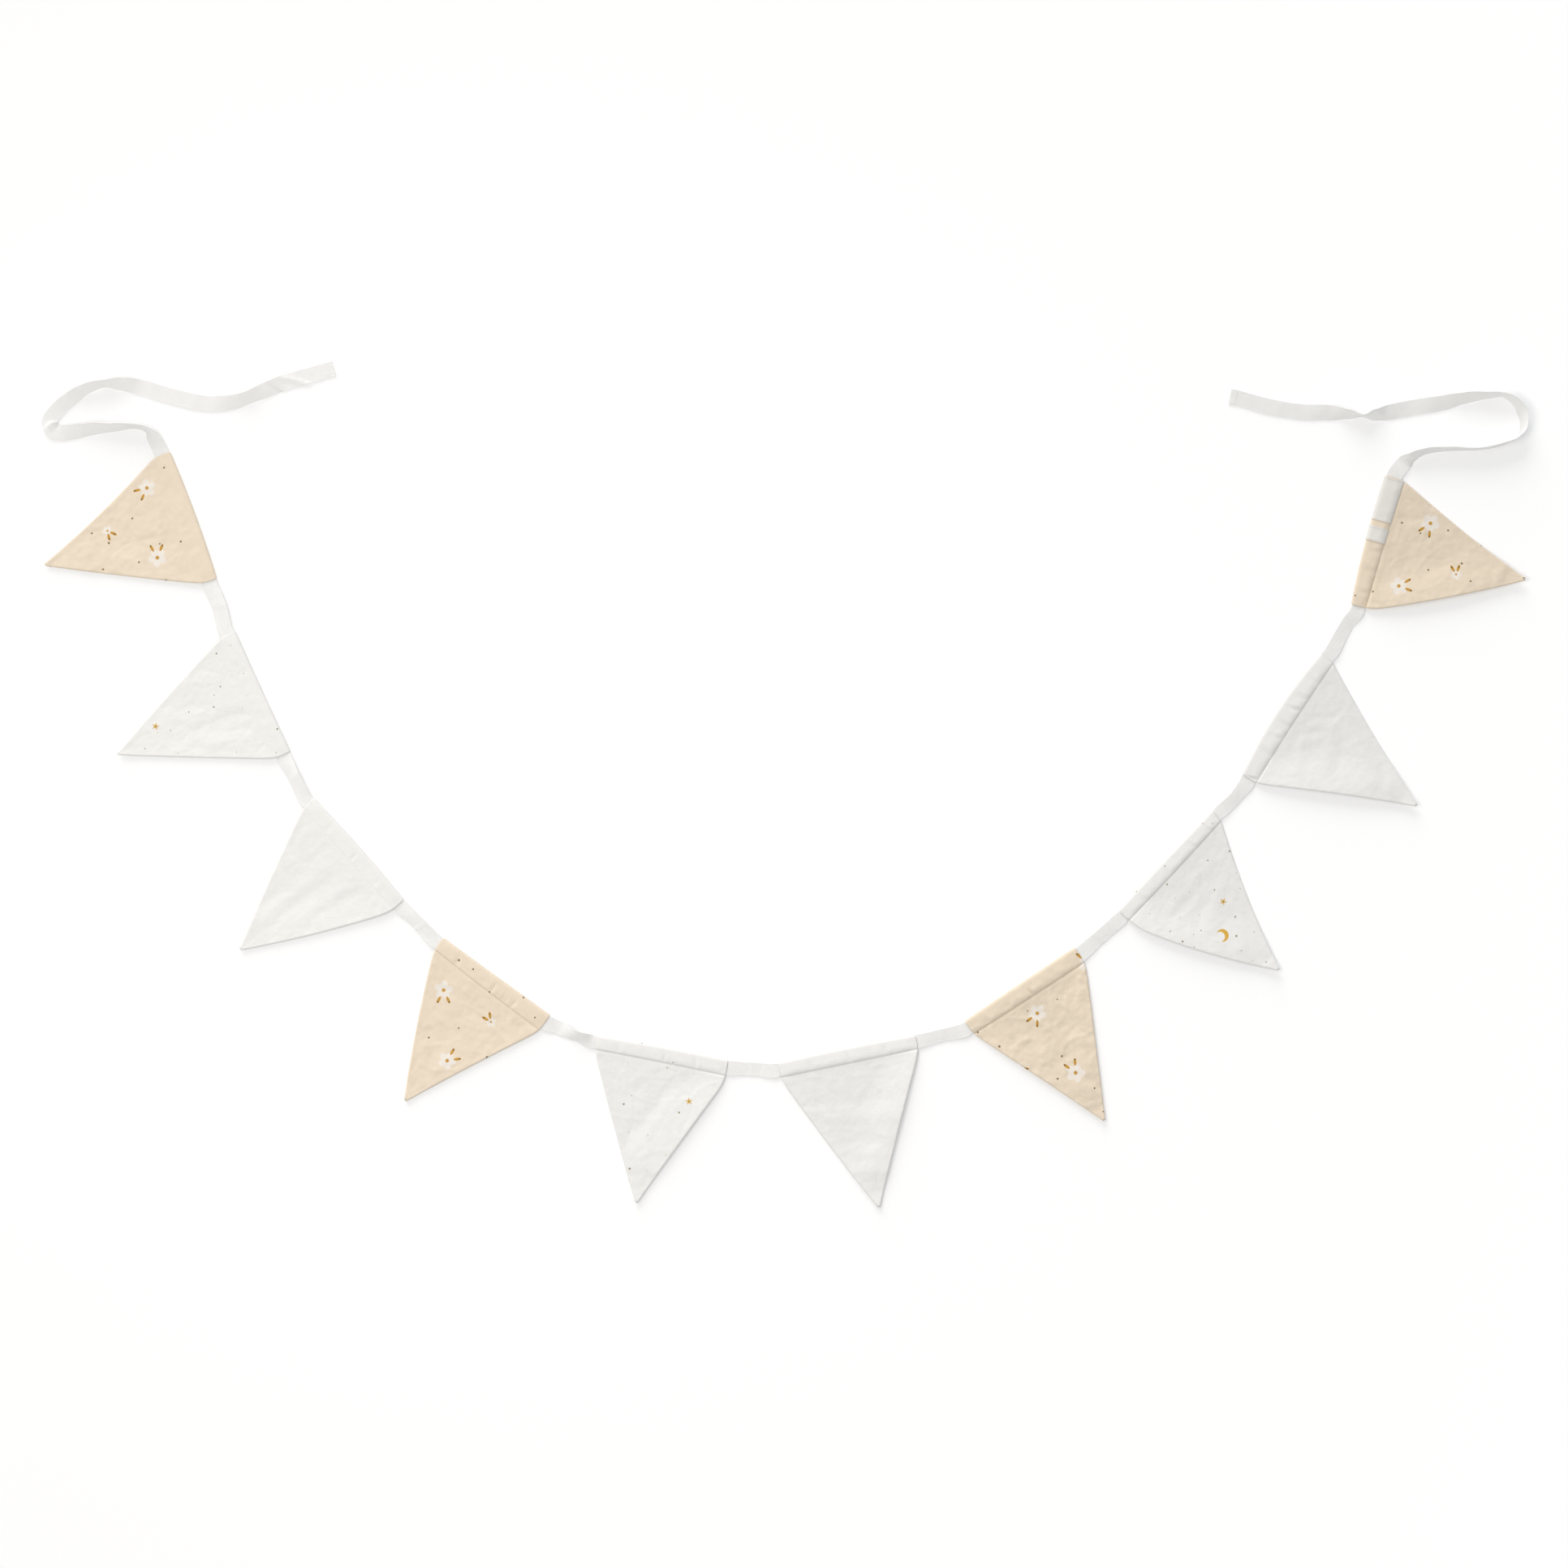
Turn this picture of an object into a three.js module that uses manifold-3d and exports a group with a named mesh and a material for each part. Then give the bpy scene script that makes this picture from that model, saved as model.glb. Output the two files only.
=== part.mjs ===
// A string of ten triangular cloth flags, threaded on one cotton tape and laid on a table in a wide U.
// Millimetres, +Z up. The table is z = 0 and the origin is under the middle of the whole string.
import * as THREE from 'three';
import { mergeVertices } from 'three/addons/utils/BufferGeometryUtils.js';
import Module from 'manifold-3d';

const wasm = await Module();
wasm.setup();

// Tape: a flat woven cotton tape
const TAPE_WIDTH = 14.5;
const TAPE_THICKNESS = 1.0;
const TAPE_FLOOR_GAP = 0.05;
const TAPE_STEP = 25;
const TAPE_TURN_STEP = 6;

// Casing: the tunnel along the fold of each flag, closed by one row of stitching
const CLEARANCE = 0.3;
const CASING_WALL = 0.9;
const CASING_FLOOR = 0.9;
const CASING_SEAM = 1.1;
const CASING_DEPTH = CASING_WALL + TAPE_WIDTH + 2 * CLEARANCE + CASING_SEAM;
const CASING_MIDDLE = CASING_WALL + CLEARANCE + TAPE_WIDTH / 2;
const TAPE_IN_CASING = CASING_FLOOR + CLEARANCE + TAPE_THICKNESS / 2;
const CASING_SHOULDER = 0.8;
const CASING_STATIONS = [0, 0.25, 0.5, 0.75, 1];
const CASING_LEAD = 7;

// Panel: two layers of muslin, sewn together and turned
const PANEL_THICKNESS = 2.0;
const STITCH_THICKNESS = 1.7;
const TIP_WIDTH = 2.4;
const CORNER_BLEND = 0.6;
const CORNER_ROUND = 2.5;
const TIP_CURL_POWER = 4;
const EDGE_LIFT_REACH = 22;
const EDGE_LIFT_SHIFT = 0.1;
const SETTLED_BY = 0.5;
const PANEL_ROWS = [0.05, 0.14, 0.25, 0.37, 0.5, 0.63, 0.76, 0.88, 1];
const COLUMNS = 10;

// Labels: two bare woven labels round the casing of the last flag
const LABEL_THICKNESS = 0.8;
const LABEL_END = CASING_DEPTH - 1.6;
const LABEL_FOLD_HEIGHT = 1.4;
const LABEL_END_HEIGHT = 3.3;
const LABEL_COLUMNS = 4;
const LABELS = [
  { name: 'label_long', from: 84, to: 125.8 },
  { name: 'label_short', from: 63.8, to: 77.8 },
];

const CLOTHS = {
  beige: new THREE.Color(0.93, 0.86, 0.78),
  starry: new THREE.Color(0.95, 0.94, 0.91),
  plain: new THREE.Color(0.95, 0.945, 0.92),
  tape: new THREE.Color(0.93, 0.92, 0.88),
  label: new THREE.Color(0.96, 0.955, 0.94),
};
const CLOTH_ROUGHNESS = 0.9;

// Each flag. x, y: the start of its fold. heading: the way the fold runs, in degrees.
// width: along the fold. tip: how far along the fold the point hangs. drop: from the fold to the point.
// fold: how far the fold stands out at its start, middle and end.
// ends: how far the casing's two ends stand out past the fold. sides: the same for the two side edges' lines,
// where they reach the casing. bulge: how far the two side edges bow out.
// lift: how far the start side, the end side and the point stand off the table.
const FLAGS = [
  { cloth: 'beige', x: -581.5, y: 315, heading: -70.4, width: 124, drop: 148, tip: 61,
    fold: [-0.5, 2, 1], ends: [0.5, 4], sides: [-0.5, 3], bulge: [-2.5, 1], lift: [0, 1.5, 2] },
  { cloth: 'starry', x: -521.5, y: 146.5, heading: -65, width: 124, drop: 149.5, tip: 60.5,
    fold: [0.5, -0.2, -0.2], ends: [-1.2, 3.5], sides: [-2.5, 3.5], bulge: [1, 0.5], lift: [0, 1.5, 3] },
  { cloth: 'plain', x: -446, y: -14.5, heading: -48.3, width: 124, drop: 146.5, tip: 60,
    fold: [1.2, 2.3, 0.7], ends: [0.8, 4.2], sides: [-0.5, 5], bulge: [1, 2.5], lift: [0, 2, 2] },
  { cloth: 'beige', x: -323.5, y: -145.5, heading: -36, width: 124.5, drop: 146, tip: 62,
    fold: [0, 0, 0.3], ends: [-0.3, 1.3], sides: [-1, 3], bulge: [2, -1.2], lift: [0, 2, 2] },
  { cloth: 'starry', x: -178, y: -238.5, heading: -10, width: 125, drop: 149, tip: 65,
    fold: [0.3, 0.6, -1], ends: [-1.2, 2.3], sides: [-2, 5], bulge: [1, -0.8], lift: [0, 4, 3] },
  { cloth: 'plain', x: -6, y: -264, heading: 11.2, width: 130, drop: 153, tip: 67.5,
    fold: [0, 1.2, 0.3], ends: [-0.2, 3.3], sides: [0, 3], bulge: [1.5, -1], lift: [0, 5.5, 3] },
  { cloth: 'beige', x: 171, y: -225, heading: 33.8, width: 123, drop: 151.5, tip: 58,
    fold: [0, 0.3, 0], ends: [-0.2, 3], sides: [-1, 4], bulge: [-0.5, 0], lift: [3, 3, 4] },
  { cloth: 'starry', x: 317, y: -119.5, heading: 45.5, width: 130.5, drop: 147.5, tip: 66,
    fold: [-0.3, 1.8, 2.6], ends: [0, -1], sides: [3, -4], bulge: [4.5, -3], lift: [6, 0, 6] },
  { cloth: 'plain', x: 436, y: 7.5, heading: 57.6, width: 139.5, drop: 152.5, tip: 64,
    fold: [2.5, 6.7, 0.7], ends: [-0.5, -2.5], sides: [0, -5], bulge: [-1.5, -1.5], lift: [7, 0, 6.5] },
  { cloth: 'beige', x: 538, y: 170, heading: 74, width: 126.5, drop: 151, tip: 68,
    fold: [0.3, 3.6, 2.6], ends: [-0.3, 0.5], sides: [1, 1], bulge: [2.5, -2], lift: [7, 0, 7] },
];

// Soft folds in the panels: a ridge from one place to another, each given as along the fold and down from it,
// with its rise and how far it spreads to each side. flag counts from 1.
const FOLDS = [
  { flag: 1, from: [40, 40], to: [62, 105], rise: 0.9, spread: 9 },
  { flag: 1, from: [88, 45], to: [72, 110], rise: 1.0, spread: 10 },
  { flag: 2, from: [28, 66], to: [38, 34], rise: 1.1, spread: 8 },
  { flag: 2, from: [46, 108], to: [64, 52], rise: 1.4, spread: 9 },
  { flag: 2, from: [90, 66], to: [98, 30], rise: 1.1, spread: 8 },
  { flag: 3, from: [28, 34], to: [34, 78], rise: 1.0, spread: 7 },
  { flag: 3, from: [55, 30], to: [52, 118], rise: 1.1, spread: 7 },
  { flag: 3, from: [82, 32], to: [72, 96], rise: 1.0, spread: 7 },
  { flag: 4, from: [42, 34], to: [50, 96], rise: 0.9, spread: 8 },
  { flag: 4, from: [80, 30], to: [70, 100], rise: 1.0, spread: 9 },
  { flag: 5, from: [56, 104], to: [84, 50], rise: 1.5, spread: 11 },
  { flag: 5, from: [30, 34], to: [62, 40], rise: 0.8, spread: 8 },
  { flag: 6, from: [32, 62], to: [100, 70], rise: 1.2, spread: 9 },
  { flag: 6, from: [56, 116], to: [84, 122], rise: 1.1, spread: 8 },
  { flag: 7, from: [46, 66], to: [82, 76], rise: 1.0, spread: 9 },
  { flag: 7, from: [58, 112], to: [74, 96], rise: 0.9, spread: 8 },
  { flag: 8, from: [38, 34], to: [92, 30], rise: 1.1, spread: 7 },
  { flag: 8, from: [50, 74], to: [84, 52], rise: 1.2, spread: 8 },
  { flag: 9, from: [50, 58], to: [92, 46], rise: 1.0, spread: 10 },
  { flag: 9, from: [58, 104], to: [80, 84], rise: 0.9, spread: 9 },
  { flag: 10, from: [84, 24], to: [88, 62], rise: 1.2, spread: 8 },
  { flag: 10, from: [58, 126], to: [74, 130], rise: 1.5, spread: 6 },
];

// The tape's free stretches, in the order in which it runs. lean: its roll, in degrees, from lying flat;
// above zero the edge on its left is the higher one.
const LEFT_TAIL = [
  { x: -427, y: 394.3, lean: 0 }, { x: -447, y: 388.5, lean: 0 }, { x: -470.5, y: 382, lean: 0 },
  { x: -490, y: 374, lean: -20 }, { x: -509, y: 366, lean: -38 }, { x: -524, y: 361.5, lean: -20 },
  { x: -549, y: 361, lean: 0 }, { x: -582, y: 368, lean: 0 }, { x: -609, y: 376, lean: 0 },
  { x: -627, y: 379, lean: -32 }, { x: -644, y: 379.5, lean: -66 }, { x: -660.5, y: 375, lean: -52 },
  { x: -676.5, y: 365, lean: -22 }, { x: -689.5, y: 354, lean: -10 }, { x: -696.5, y: 343.5, lean: -6 },
  { x: -693.5, y: 336, lean: 0 }, { x: -686, y: 333, lean: 8 }, { x: -674, y: 334, lean: 18 },
  { x: -657, y: 336.5, lean: 38 }, { x: -636, y: 338, lean: 60 }, { x: -614.5, y: 339, lean: 77 },
  { x: -604, y: 336, lean: 70 }, { x: -597.5, y: 328, lean: 25 },
];
const BETWEEN_FLAGS = [
  [{ x: -536, y: 169.5, lean: 10 }],
  [{ x: -465, y: 6, lean: 20 }],
  [{ x: -350, y: -131, lean: 15 }],
  [{ x: -212.5, y: -231, lean: 0 }, { x: -200.5, y: -241, lean: 30 }],
  [{ x: -31.5, y: -271.5, lean: 0 }],
  [{ x: 149.5, y: -240, lean: 10 }],
  [{ x: 300, y: -146, lean: 15 }],
  [{ x: 428, y: -15, lean: 20 }],
  [{ x: 535, y: 151, lean: 30 }],
];
const RIGHT_TAIL = [
  { x: 587, y: 303, lean: -8 }, { x: 595.5, y: 310, lean: 52 }, { x: 607.6, y: 315.3, lean: 69 },
  { x: 630.5, y: 317.5, lean: 79 }, { x: 657.5, y: 317.5, lean: 86 }, { x: 680.5, y: 322, lean: 84 },
  { x: 696, y: 329, lean: 89 }, { x: 701, y: 339.5, lean: 110 }, { x: 699.5, y: 353, lean: 124 },
  { x: 692, y: 363.5, lean: 113 }, { x: 682, y: 368.5, lean: 102 }, { x: 669, y: 368.5, lean: 111 },
  { x: 646, y: 366, lean: 135 }, { x: 623, y: 361, lean: 165 }, { x: 596, y: 357, lean: 180 },
  { x: 574.5, y: 352.5, lean: 168 }, { x: 561.5, y: 350, lean: 138 }, { x: 548, y: 349, lean: 94 },
  { x: 534.5, y: 350.5, lean: 125 }, { x: 516.5, y: 352, lean: 164 }, { x: 489.5, y: 353, lean: 180 },
  { x: 457.5, y: 358.5, lean: 180 }, { x: 434.5, y: 365, lean: 180 }, { x: 423, y: 367.5, lean: 180 },
];

const lerp = THREE.MathUtils.lerp;
const radians = THREE.MathUtils.degToRad;

// A hump that is 0 at both ends and 1 in the middle
const hump = (part) => 4 * part * (1 - part);

// A closed sheet: a thin box with many segments, each point moved by place(u, v, upper),
// where u runs over its columns, v over its rows, and upper tells the top face from the underside
function bentSheet(columns, rows, place) {
  const box = new THREE.BoxGeometry(1, 1, 1, columns, rows, 1);
  box.deleteAttribute('normal');
  box.deleteAttribute('uv');
  const sheet = mergeVertices(box);
  const points = sheet.getAttribute('position');
  for (let i = 0; i < points.count; i += 1) {
    const u = points.getX(i) + 0.5;
    const v = 0.5 - points.getY(i);
    const point = place(u, v, points.getZ(i) > 0);
    points.setXYZ(i, point.x, point.y, point.z);
  }
  return sheet;
}

// The casing's section: the heights of its underside and its top at a distance down from the fold
const CASING_SECTION = [
  { down: 0, under: 1.0, over: 2.4 },
  { down: CASING_WALL, under: 0.2, over: 3.2 },
  { down: 3.4, under: 0, over: 3.8 },
  { down: CASING_MIDDLE, under: 0, over: 4.1 },
  { down: 13.4, under: 0, over: 3.8 },
  { down: CASING_DEPTH - CASING_SHOULDER, under: 0, over: 3.1 },
  { down: CASING_DEPTH, under: 0, over: STITCH_THICKNESS },
];

// A place on a flag's cloth, from along the fold and down from it, to the shared frame
function onFlag(flag, along, down, z) {
  const heading = radians(flag.heading);
  const x = flag.x + along * Math.cos(heading) + down * Math.sin(heading);
  const y = flag.y + along * Math.sin(heading) - down * Math.cos(heading);
  return new THREE.Vector3(x, y, z);
}

// How far the fold stands out, along a curve through its start, middle and end; this fades towards the point
function foldAt(flag, u, fade) {
  const [start, middle, end] = flag.fold;
  return -fade * (start * (1 - u) * (1 - 2 * u) + middle * hump(u) + end * u * (2 * u - 1));
}

// The lesser of two lengths, with a soft round where they are alike
function softLesser(a, b) {
  return -Math.log(Math.exp(-a * CORNER_BLEND) + Math.exp(-b * CORNER_BLEND)) / CORNER_BLEND;
}

// Where the cloth starts and ends at a distance down from the fold:
// square at the casing, then straight to the point
function sideEdges(flag, down) {
  const q = (down - CASING_DEPTH) / (flag.drop - CASING_DEPTH);
  const bow = hump(Math.max(q, 0));
  const startLine = lerp(flag.sides[0], TIP_WIDTH / 2 - flag.tip, q) + flag.bulge[0] * bow;
  const endLine = lerp(flag.width + flag.sides[1], flag.tip + TIP_WIDTH / 2, q) + flag.bulge[1] * bow;
  const above = Math.max(CORNER_ROUND - down, 0);
  const inset = CORNER_ROUND - Math.sqrt(CORNER_ROUND ** 2 - above ** 2);
  const start = inset - softLesser(startLine, flag.ends[0]);
  const end = softLesser(endLine, flag.width + flag.ends[1]) - inset;
  return { start, end };
}

// How far a place on the cloth is from the nearest point of a fold's line
function distanceToFold(fold, along, down) {
  const start = new THREE.Vector2(...fold.from);
  const line = new THREE.Vector2(...fold.to).sub(start);
  const point = new THREE.Vector2(along, down).sub(start);
  const part = THREE.MathUtils.clamp(point.dot(line) / line.lengthSq(), 0, 1);
  return point.sub(line.multiplyScalar(part)).length();
}

// A soft ridge's share of its full height at a distance from its crest
const fallOff = (distance, spread) => Math.exp(-((distance / spread) ** 2));

// How far the panel's underside stands off the table: folds, lifted edges and the lifted point.
// The cloth settles by a little, so that it lies flat on the table between them.
function panelLift(flag, folds, place) {
  const { along, down, q, fromStart, fromEnd } = place;
  const edge = hump(Math.min(q + EDGE_LIFT_SHIFT, 1));
  const [liftStart, liftEnd, liftTip] = flag.lift;
  let lift = liftTip * q ** TIP_CURL_POWER;
  lift += liftStart * edge * fallOff(fromStart, EDGE_LIFT_REACH);
  lift += liftEnd * edge * fallOff(fromEnd, EDGE_LIFT_REACH);
  for (const fold of folds) {
    lift += fold.rise * fallOff(distanceToFold(fold, along, down), fold.spread);
  }
  return Math.max(0, lift - SETTLED_BY);
}

function casingPoint(flag, u, section, upper) {
  const edges = sideEdges(flag, section.down);
  const along = lerp(edges.start, edges.end, u);
  return onFlag(flag, along, section.down + foldAt(flag, u, 1), upper ? section.over : section.under);
}

// A point in the panel: q runs from the stitching to the point of the flag
function panelPoint(flag, folds, u, q, upper) {
  const down = lerp(CASING_DEPTH, flag.drop, q);
  const edges = sideEdges(flag, down);
  const along = lerp(edges.start, edges.end, u);
  const place = { along, down, q, fromStart: along - edges.start, fromEnd: edges.end - along };
  const under = panelLift(flag, folds, place);
  const z = upper ? under + PANEL_THICKNESS : under;
  return onFlag(flag, along, down + foldAt(flag, u, 1 - q), z);
}

function flagSheet(flag, number) {
  const folds = FOLDS.filter((fold) => fold.flag === number);
  const rows = CASING_SECTION.length + PANEL_ROWS.length - 1;
  return bentSheet(COLUMNS, rows, (u, v, upper) => {
    const row = Math.round(v * rows);
    if (row < CASING_SECTION.length) {
      return casingPoint(flag, u, CASING_SECTION[row], upper);
    }
    return panelPoint(flag, folds, u, PANEL_ROWS[row - CASING_SECTION.length], upper);
  });
}

// The tape's middle line inside a flag's casing, led straight out of both ends
function casingRoute(flag) {
  const lead = CASING_LEAD / flag.width;
  const stations = [-lead, ...CASING_STATIONS, 1 + lead];
  return stations.map((u) => {
    const point = onFlag(flag, u * flag.width, CASING_MIDDLE + foldAt(flag, u, 1), TAPE_IN_CASING);
    return { x: point.x, y: point.y, z: point.z, lean: 0 };
  });
}

// The height of the tape's middle where its lower edge touches the table
function lyingHeight(lean) {
  const height = TAPE_WIDTH * Math.abs(Math.sin(lean)) + TAPE_THICKNESS * Math.abs(Math.cos(lean));
  return height / 2 + TAPE_FLOOR_GAP;
}

function lyingRoute(rows) {
  return rows.map((row) => ({ ...row, z: lyingHeight(radians(row.lean)) }));
}

// The tape's route from its left end through every casing to its right end
function tapeRoute() {
  const route = lyingRoute(LEFT_TAIL);
  FLAGS.forEach((flag, i) => {
    route.push(...casingRoute(flag), ...lyingRoute(BETWEEN_FLAGS[i] ?? []));
  });
  route.push(...lyingRoute(RIGHT_TAIL));
  return route;
}

// A ribbon along a route: each station gives its middle, its direction and its roll
function ribbon(stations, width, thickness) {
  const last = stations.length - 1;
  return bentSheet(last, 1, (u, v, upper) => {
    const station = stations[Math.round(u * last)];
    const across = new THREE.Vector3(-station.direction.y, station.direction.x, 0).normalize();
    const rise = new THREE.Vector3(0, 0, 1);
    const widthAxis = across.clone().multiplyScalar(Math.cos(station.lean));
    widthAxis.addScaledVector(rise, Math.sin(station.lean));
    const faceAxis = across.clone().multiplyScalar(-Math.sin(station.lean));
    faceAxis.addScaledVector(rise, Math.cos(station.lean));
    const point = station.middle.clone().addScaledVector(widthAxis, (0.5 - v) * width);
    return point.addScaledVector(faceAxis, (upper ? 0.5 : -0.5) * thickness);
  });
}

// Stations between two places on the route, closer together where the tape turns or rolls
function stationsAlong(route, first, last) {
  const curve = new THREE.CatmullRomCurve3(route.map((row) => new THREE.Vector3(row.x, row.y, row.z)));
  const spans = route.length - 1;
  const stations = [];
  for (let i = first; i < last; i += 1) {
    const rolls = route[i].lean !== route[i + 1].lean;
    const from = new THREE.Vector3(route[i].x, route[i].y, route[i].z);
    const length = from.distanceTo(new THREE.Vector3(route[i + 1].x, route[i + 1].y, route[i + 1].z));
    const steps = Math.ceil(length / (rolls ? TAPE_TURN_STEP : TAPE_STEP));
    for (let k = 0; k < steps; k += 1) {
      stations.push(stationAt(curve, route, (i + k / steps) / spans));
    }
  }
  stations.push(stationAt(curve, route, last / spans));
  return stations;
}

function stationAt(curve, route, t) {
  const place = t * (route.length - 1);
  const row = Math.min(Math.floor(place), route.length - 2);
  const ease = THREE.MathUtils.smoothstep(place - row, 0, 1);
  const lean = radians(lerp(route[row].lean, route[row + 1].lean, ease));
  const middle = curve.getPoint(t);
  middle.z = Math.max(middle.z, lyingHeight(lean));
  return { middle, direction: curve.getTangent(t), lean };
}

// A label lies on its flag's casing, from over the fold to just short of the stitching
function labelSheet(flag, label) {
  const outline = [
    { down: -CLEARANCE - LABEL_THICKNESS, z: LABEL_FOLD_HEIGHT },
    ...CASING_SECTION.slice(0, -2).map((row) => ({ down: row.down, z: row.over + CLEARANCE })),
    { down: LABEL_END, z: LABEL_END_HEIGHT + CLEARANCE },
  ];
  outline[0].under = -CLEARANCE;
  outline[1].down -= CLEARANCE;
  const rows = outline.length - 1;
  return bentSheet(LABEL_COLUMNS, rows, (u, v, upper) => {
    const row = outline[Math.round(v * rows)];
    const along = lerp(label.from, label.to, u);
    const down = upper ? row.down : row.under ?? row.down;
    const z = upper && row.under === undefined ? row.z + LABEL_THICKNESS : row.z;
    return onFlag(flag, along, down + foldAt(flag, along / flag.width, 1), z);
  });
}

function toSolid(geometry) {
  const vertProperties = new Float32Array(geometry.getAttribute('position').array);
  const triVerts = new Uint32Array(geometry.index.array);
  return new wasm.Manifold(new wasm.Mesh({ numProp: 3, vertProperties, triVerts }));
}

function toGeometry(solid) {
  const mesh = solid.getMesh();
  const geometry = new THREE.BufferGeometry();
  geometry.setAttribute('position', new THREE.BufferAttribute(mesh.vertProperties, 3));
  geometry.setIndex(new THREE.BufferAttribute(mesh.triVerts, 1));
  return geometry;
}

function addPiece(group, name, geometry, cloth) {
  geometry.computeVertexNormals();
  const color = CLOTHS[cloth];
  const material = new THREE.MeshStandardMaterial({ color, roughness: CLOTH_ROUGHNESS, metalness: 0 });
  const piece = new THREE.Mesh(geometry, material);
  piece.name = name;
  group.add(piece);
}

const bunting = new THREE.Group();
const route = tapeRoute();
const rowsInCasing = CASING_STATIONS.length + 2;
let casingStart = LEFT_TAIL.length;

FLAGS.forEach((flag, i) => {
  const stations = stationsAlong(route, casingStart, casingStart + rowsInCasing - 1);
  const tunnel = ribbon(stations, TAPE_WIDTH + 2 * CLEARANCE, TAPE_THICKNESS + 2 * CLEARANCE);
  const sewn = toSolid(flagSheet(flag, i + 1)).subtract(toSolid(tunnel));
  addPiece(bunting, `flag_${String(i + 1).padStart(2, '0')}`, toGeometry(sewn), flag.cloth);
  casingStart += rowsInCasing + (BETWEEN_FLAGS[i]?.length ?? 0);
});

const tape = ribbon(stationsAlong(route, 0, route.length - 1), TAPE_WIDTH, TAPE_THICKNESS);
addPiece(bunting, 'tape', tape, 'tape');

for (const label of LABELS) {
  addPiece(bunting, label.name, labelSheet(FLAGS.at(-1), label), 'label');
}

export default bunting;
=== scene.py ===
# %% [markdown]
# # A string of cloth flags
# Ten small muslin flags hang on one cotton tape. Each flag is two layers of cloth, sewn together and
# turned, and its top is folded over into a casing that the tape runs through. Here the string lies on a
# table in a wide U. The part's solids give the size and the place of every piece, so they are loaded first,
# and nothing moves them. The finer sheets made below lie in the space of those solids and stand for them.

# %% The solids of the part
import math
from collections import namedtuple

import bmesh
import bpy
import numpy as np
from mathutils import Matrix, Vector, noise


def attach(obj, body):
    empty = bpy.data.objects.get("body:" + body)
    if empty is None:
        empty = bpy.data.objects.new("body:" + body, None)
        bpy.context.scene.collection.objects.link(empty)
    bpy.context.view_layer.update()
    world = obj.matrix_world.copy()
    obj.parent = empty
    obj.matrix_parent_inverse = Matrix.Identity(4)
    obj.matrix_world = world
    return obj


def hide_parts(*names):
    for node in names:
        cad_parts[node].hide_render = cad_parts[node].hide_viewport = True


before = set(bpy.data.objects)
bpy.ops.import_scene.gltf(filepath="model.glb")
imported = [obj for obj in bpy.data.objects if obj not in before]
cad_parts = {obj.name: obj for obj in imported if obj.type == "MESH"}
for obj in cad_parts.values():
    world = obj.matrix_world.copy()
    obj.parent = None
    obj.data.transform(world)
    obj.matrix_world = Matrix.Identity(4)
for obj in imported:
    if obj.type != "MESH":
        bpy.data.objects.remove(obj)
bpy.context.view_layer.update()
MM = 0.001

# %% [markdown]
# ## View, table and light
# The string is seen from straight above, so the camera hangs over the middle and looks down through a long
# lens. Its view is as wide as the whole picture. The table is white paper, almost burnt out, as in a
# catalogue picture. A low, wide sun from the top, a little to the left, draws soft shadows below the flags,
# a faintly blue sky fills them, and a large lamp overhead, left of the middle, keeps that side brighter.
# One hard lamp would be simpler, but then each crease would look carved.

# %% Camera
PICTURE_SIDE = 1932
MM_PER_PIXEL = 0.77
CAMERA_HEIGHT = 4.0
VIEW_WIDTH = PICTURE_SIDE * MM_PER_PIXEL * MM

camera_data = bpy.data.cameras.new("camera")
camera_data.lens = camera_data.sensor_width * CAMERA_HEIGHT / VIEW_WIDTH
camera = bpy.data.objects.new("camera", camera_data)
camera.location = (0, 0, CAMERA_HEIGHT)
scene = bpy.context.scene
scene.collection.objects.link(camera)
scene.camera = camera
scene.view_settings.view_transform = "Standard"
print("view width in m:", round(VIEW_WIDTH, 3), "lens in mm:", round(camera_data.lens, 1))

# %% Light
SUN_ELEVATION = 21
SUN_FROM = (-0.32, 0.95)
SUN_DISC = 40
SUN_STRENGTH = 1.8
SKY_STRENGTH = 0.56
SKY_COLOUR = (0.985, 1.0, 1.015, 1.0)
LAMP_PLACE = (-0.6, 0.08, 1.83)
LAMP_POWER = 16.3
LAMP_SIZE = 1.0
LAMP_COLOUR = (1.0, 0.96, 0.90)


def add_light(name, kind, power, comes_from):
    """A light that shines from a direction, with the middle of the table as its aim."""
    data = bpy.data.lights.new(name, kind)
    data.energy = power
    light = bpy.data.objects.new(name, data)
    light.rotation_mode = "QUATERNION"
    light.rotation_quaternion = Vector(comes_from).to_track_quat("Z", "Y")
    scene.collection.objects.link(light)
    return light


sun = add_light("sun", "SUN", SUN_STRENGTH, (*SUN_FROM, math.tan(math.radians(SUN_ELEVATION))))
sun.data.angle = math.radians(SUN_DISC)
lamp = add_light("lamp", "AREA", LAMP_POWER, LAMP_PLACE)
lamp.data.size = LAMP_SIZE
lamp.data.color = LAMP_COLOUR
lamp.location = LAMP_PLACE

sky = bpy.data.worlds.new("sky")
sky.use_nodes = True
sky_sockets = sky.node_tree.nodes["Background"].inputs
sky_sockets["Color"].default_value = SKY_COLOUR
sky_sockets["Strength"].default_value = SKY_STRENGTH
scene.world = sky
print("lights:", [light.name for light in (sun, lamp)])

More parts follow.
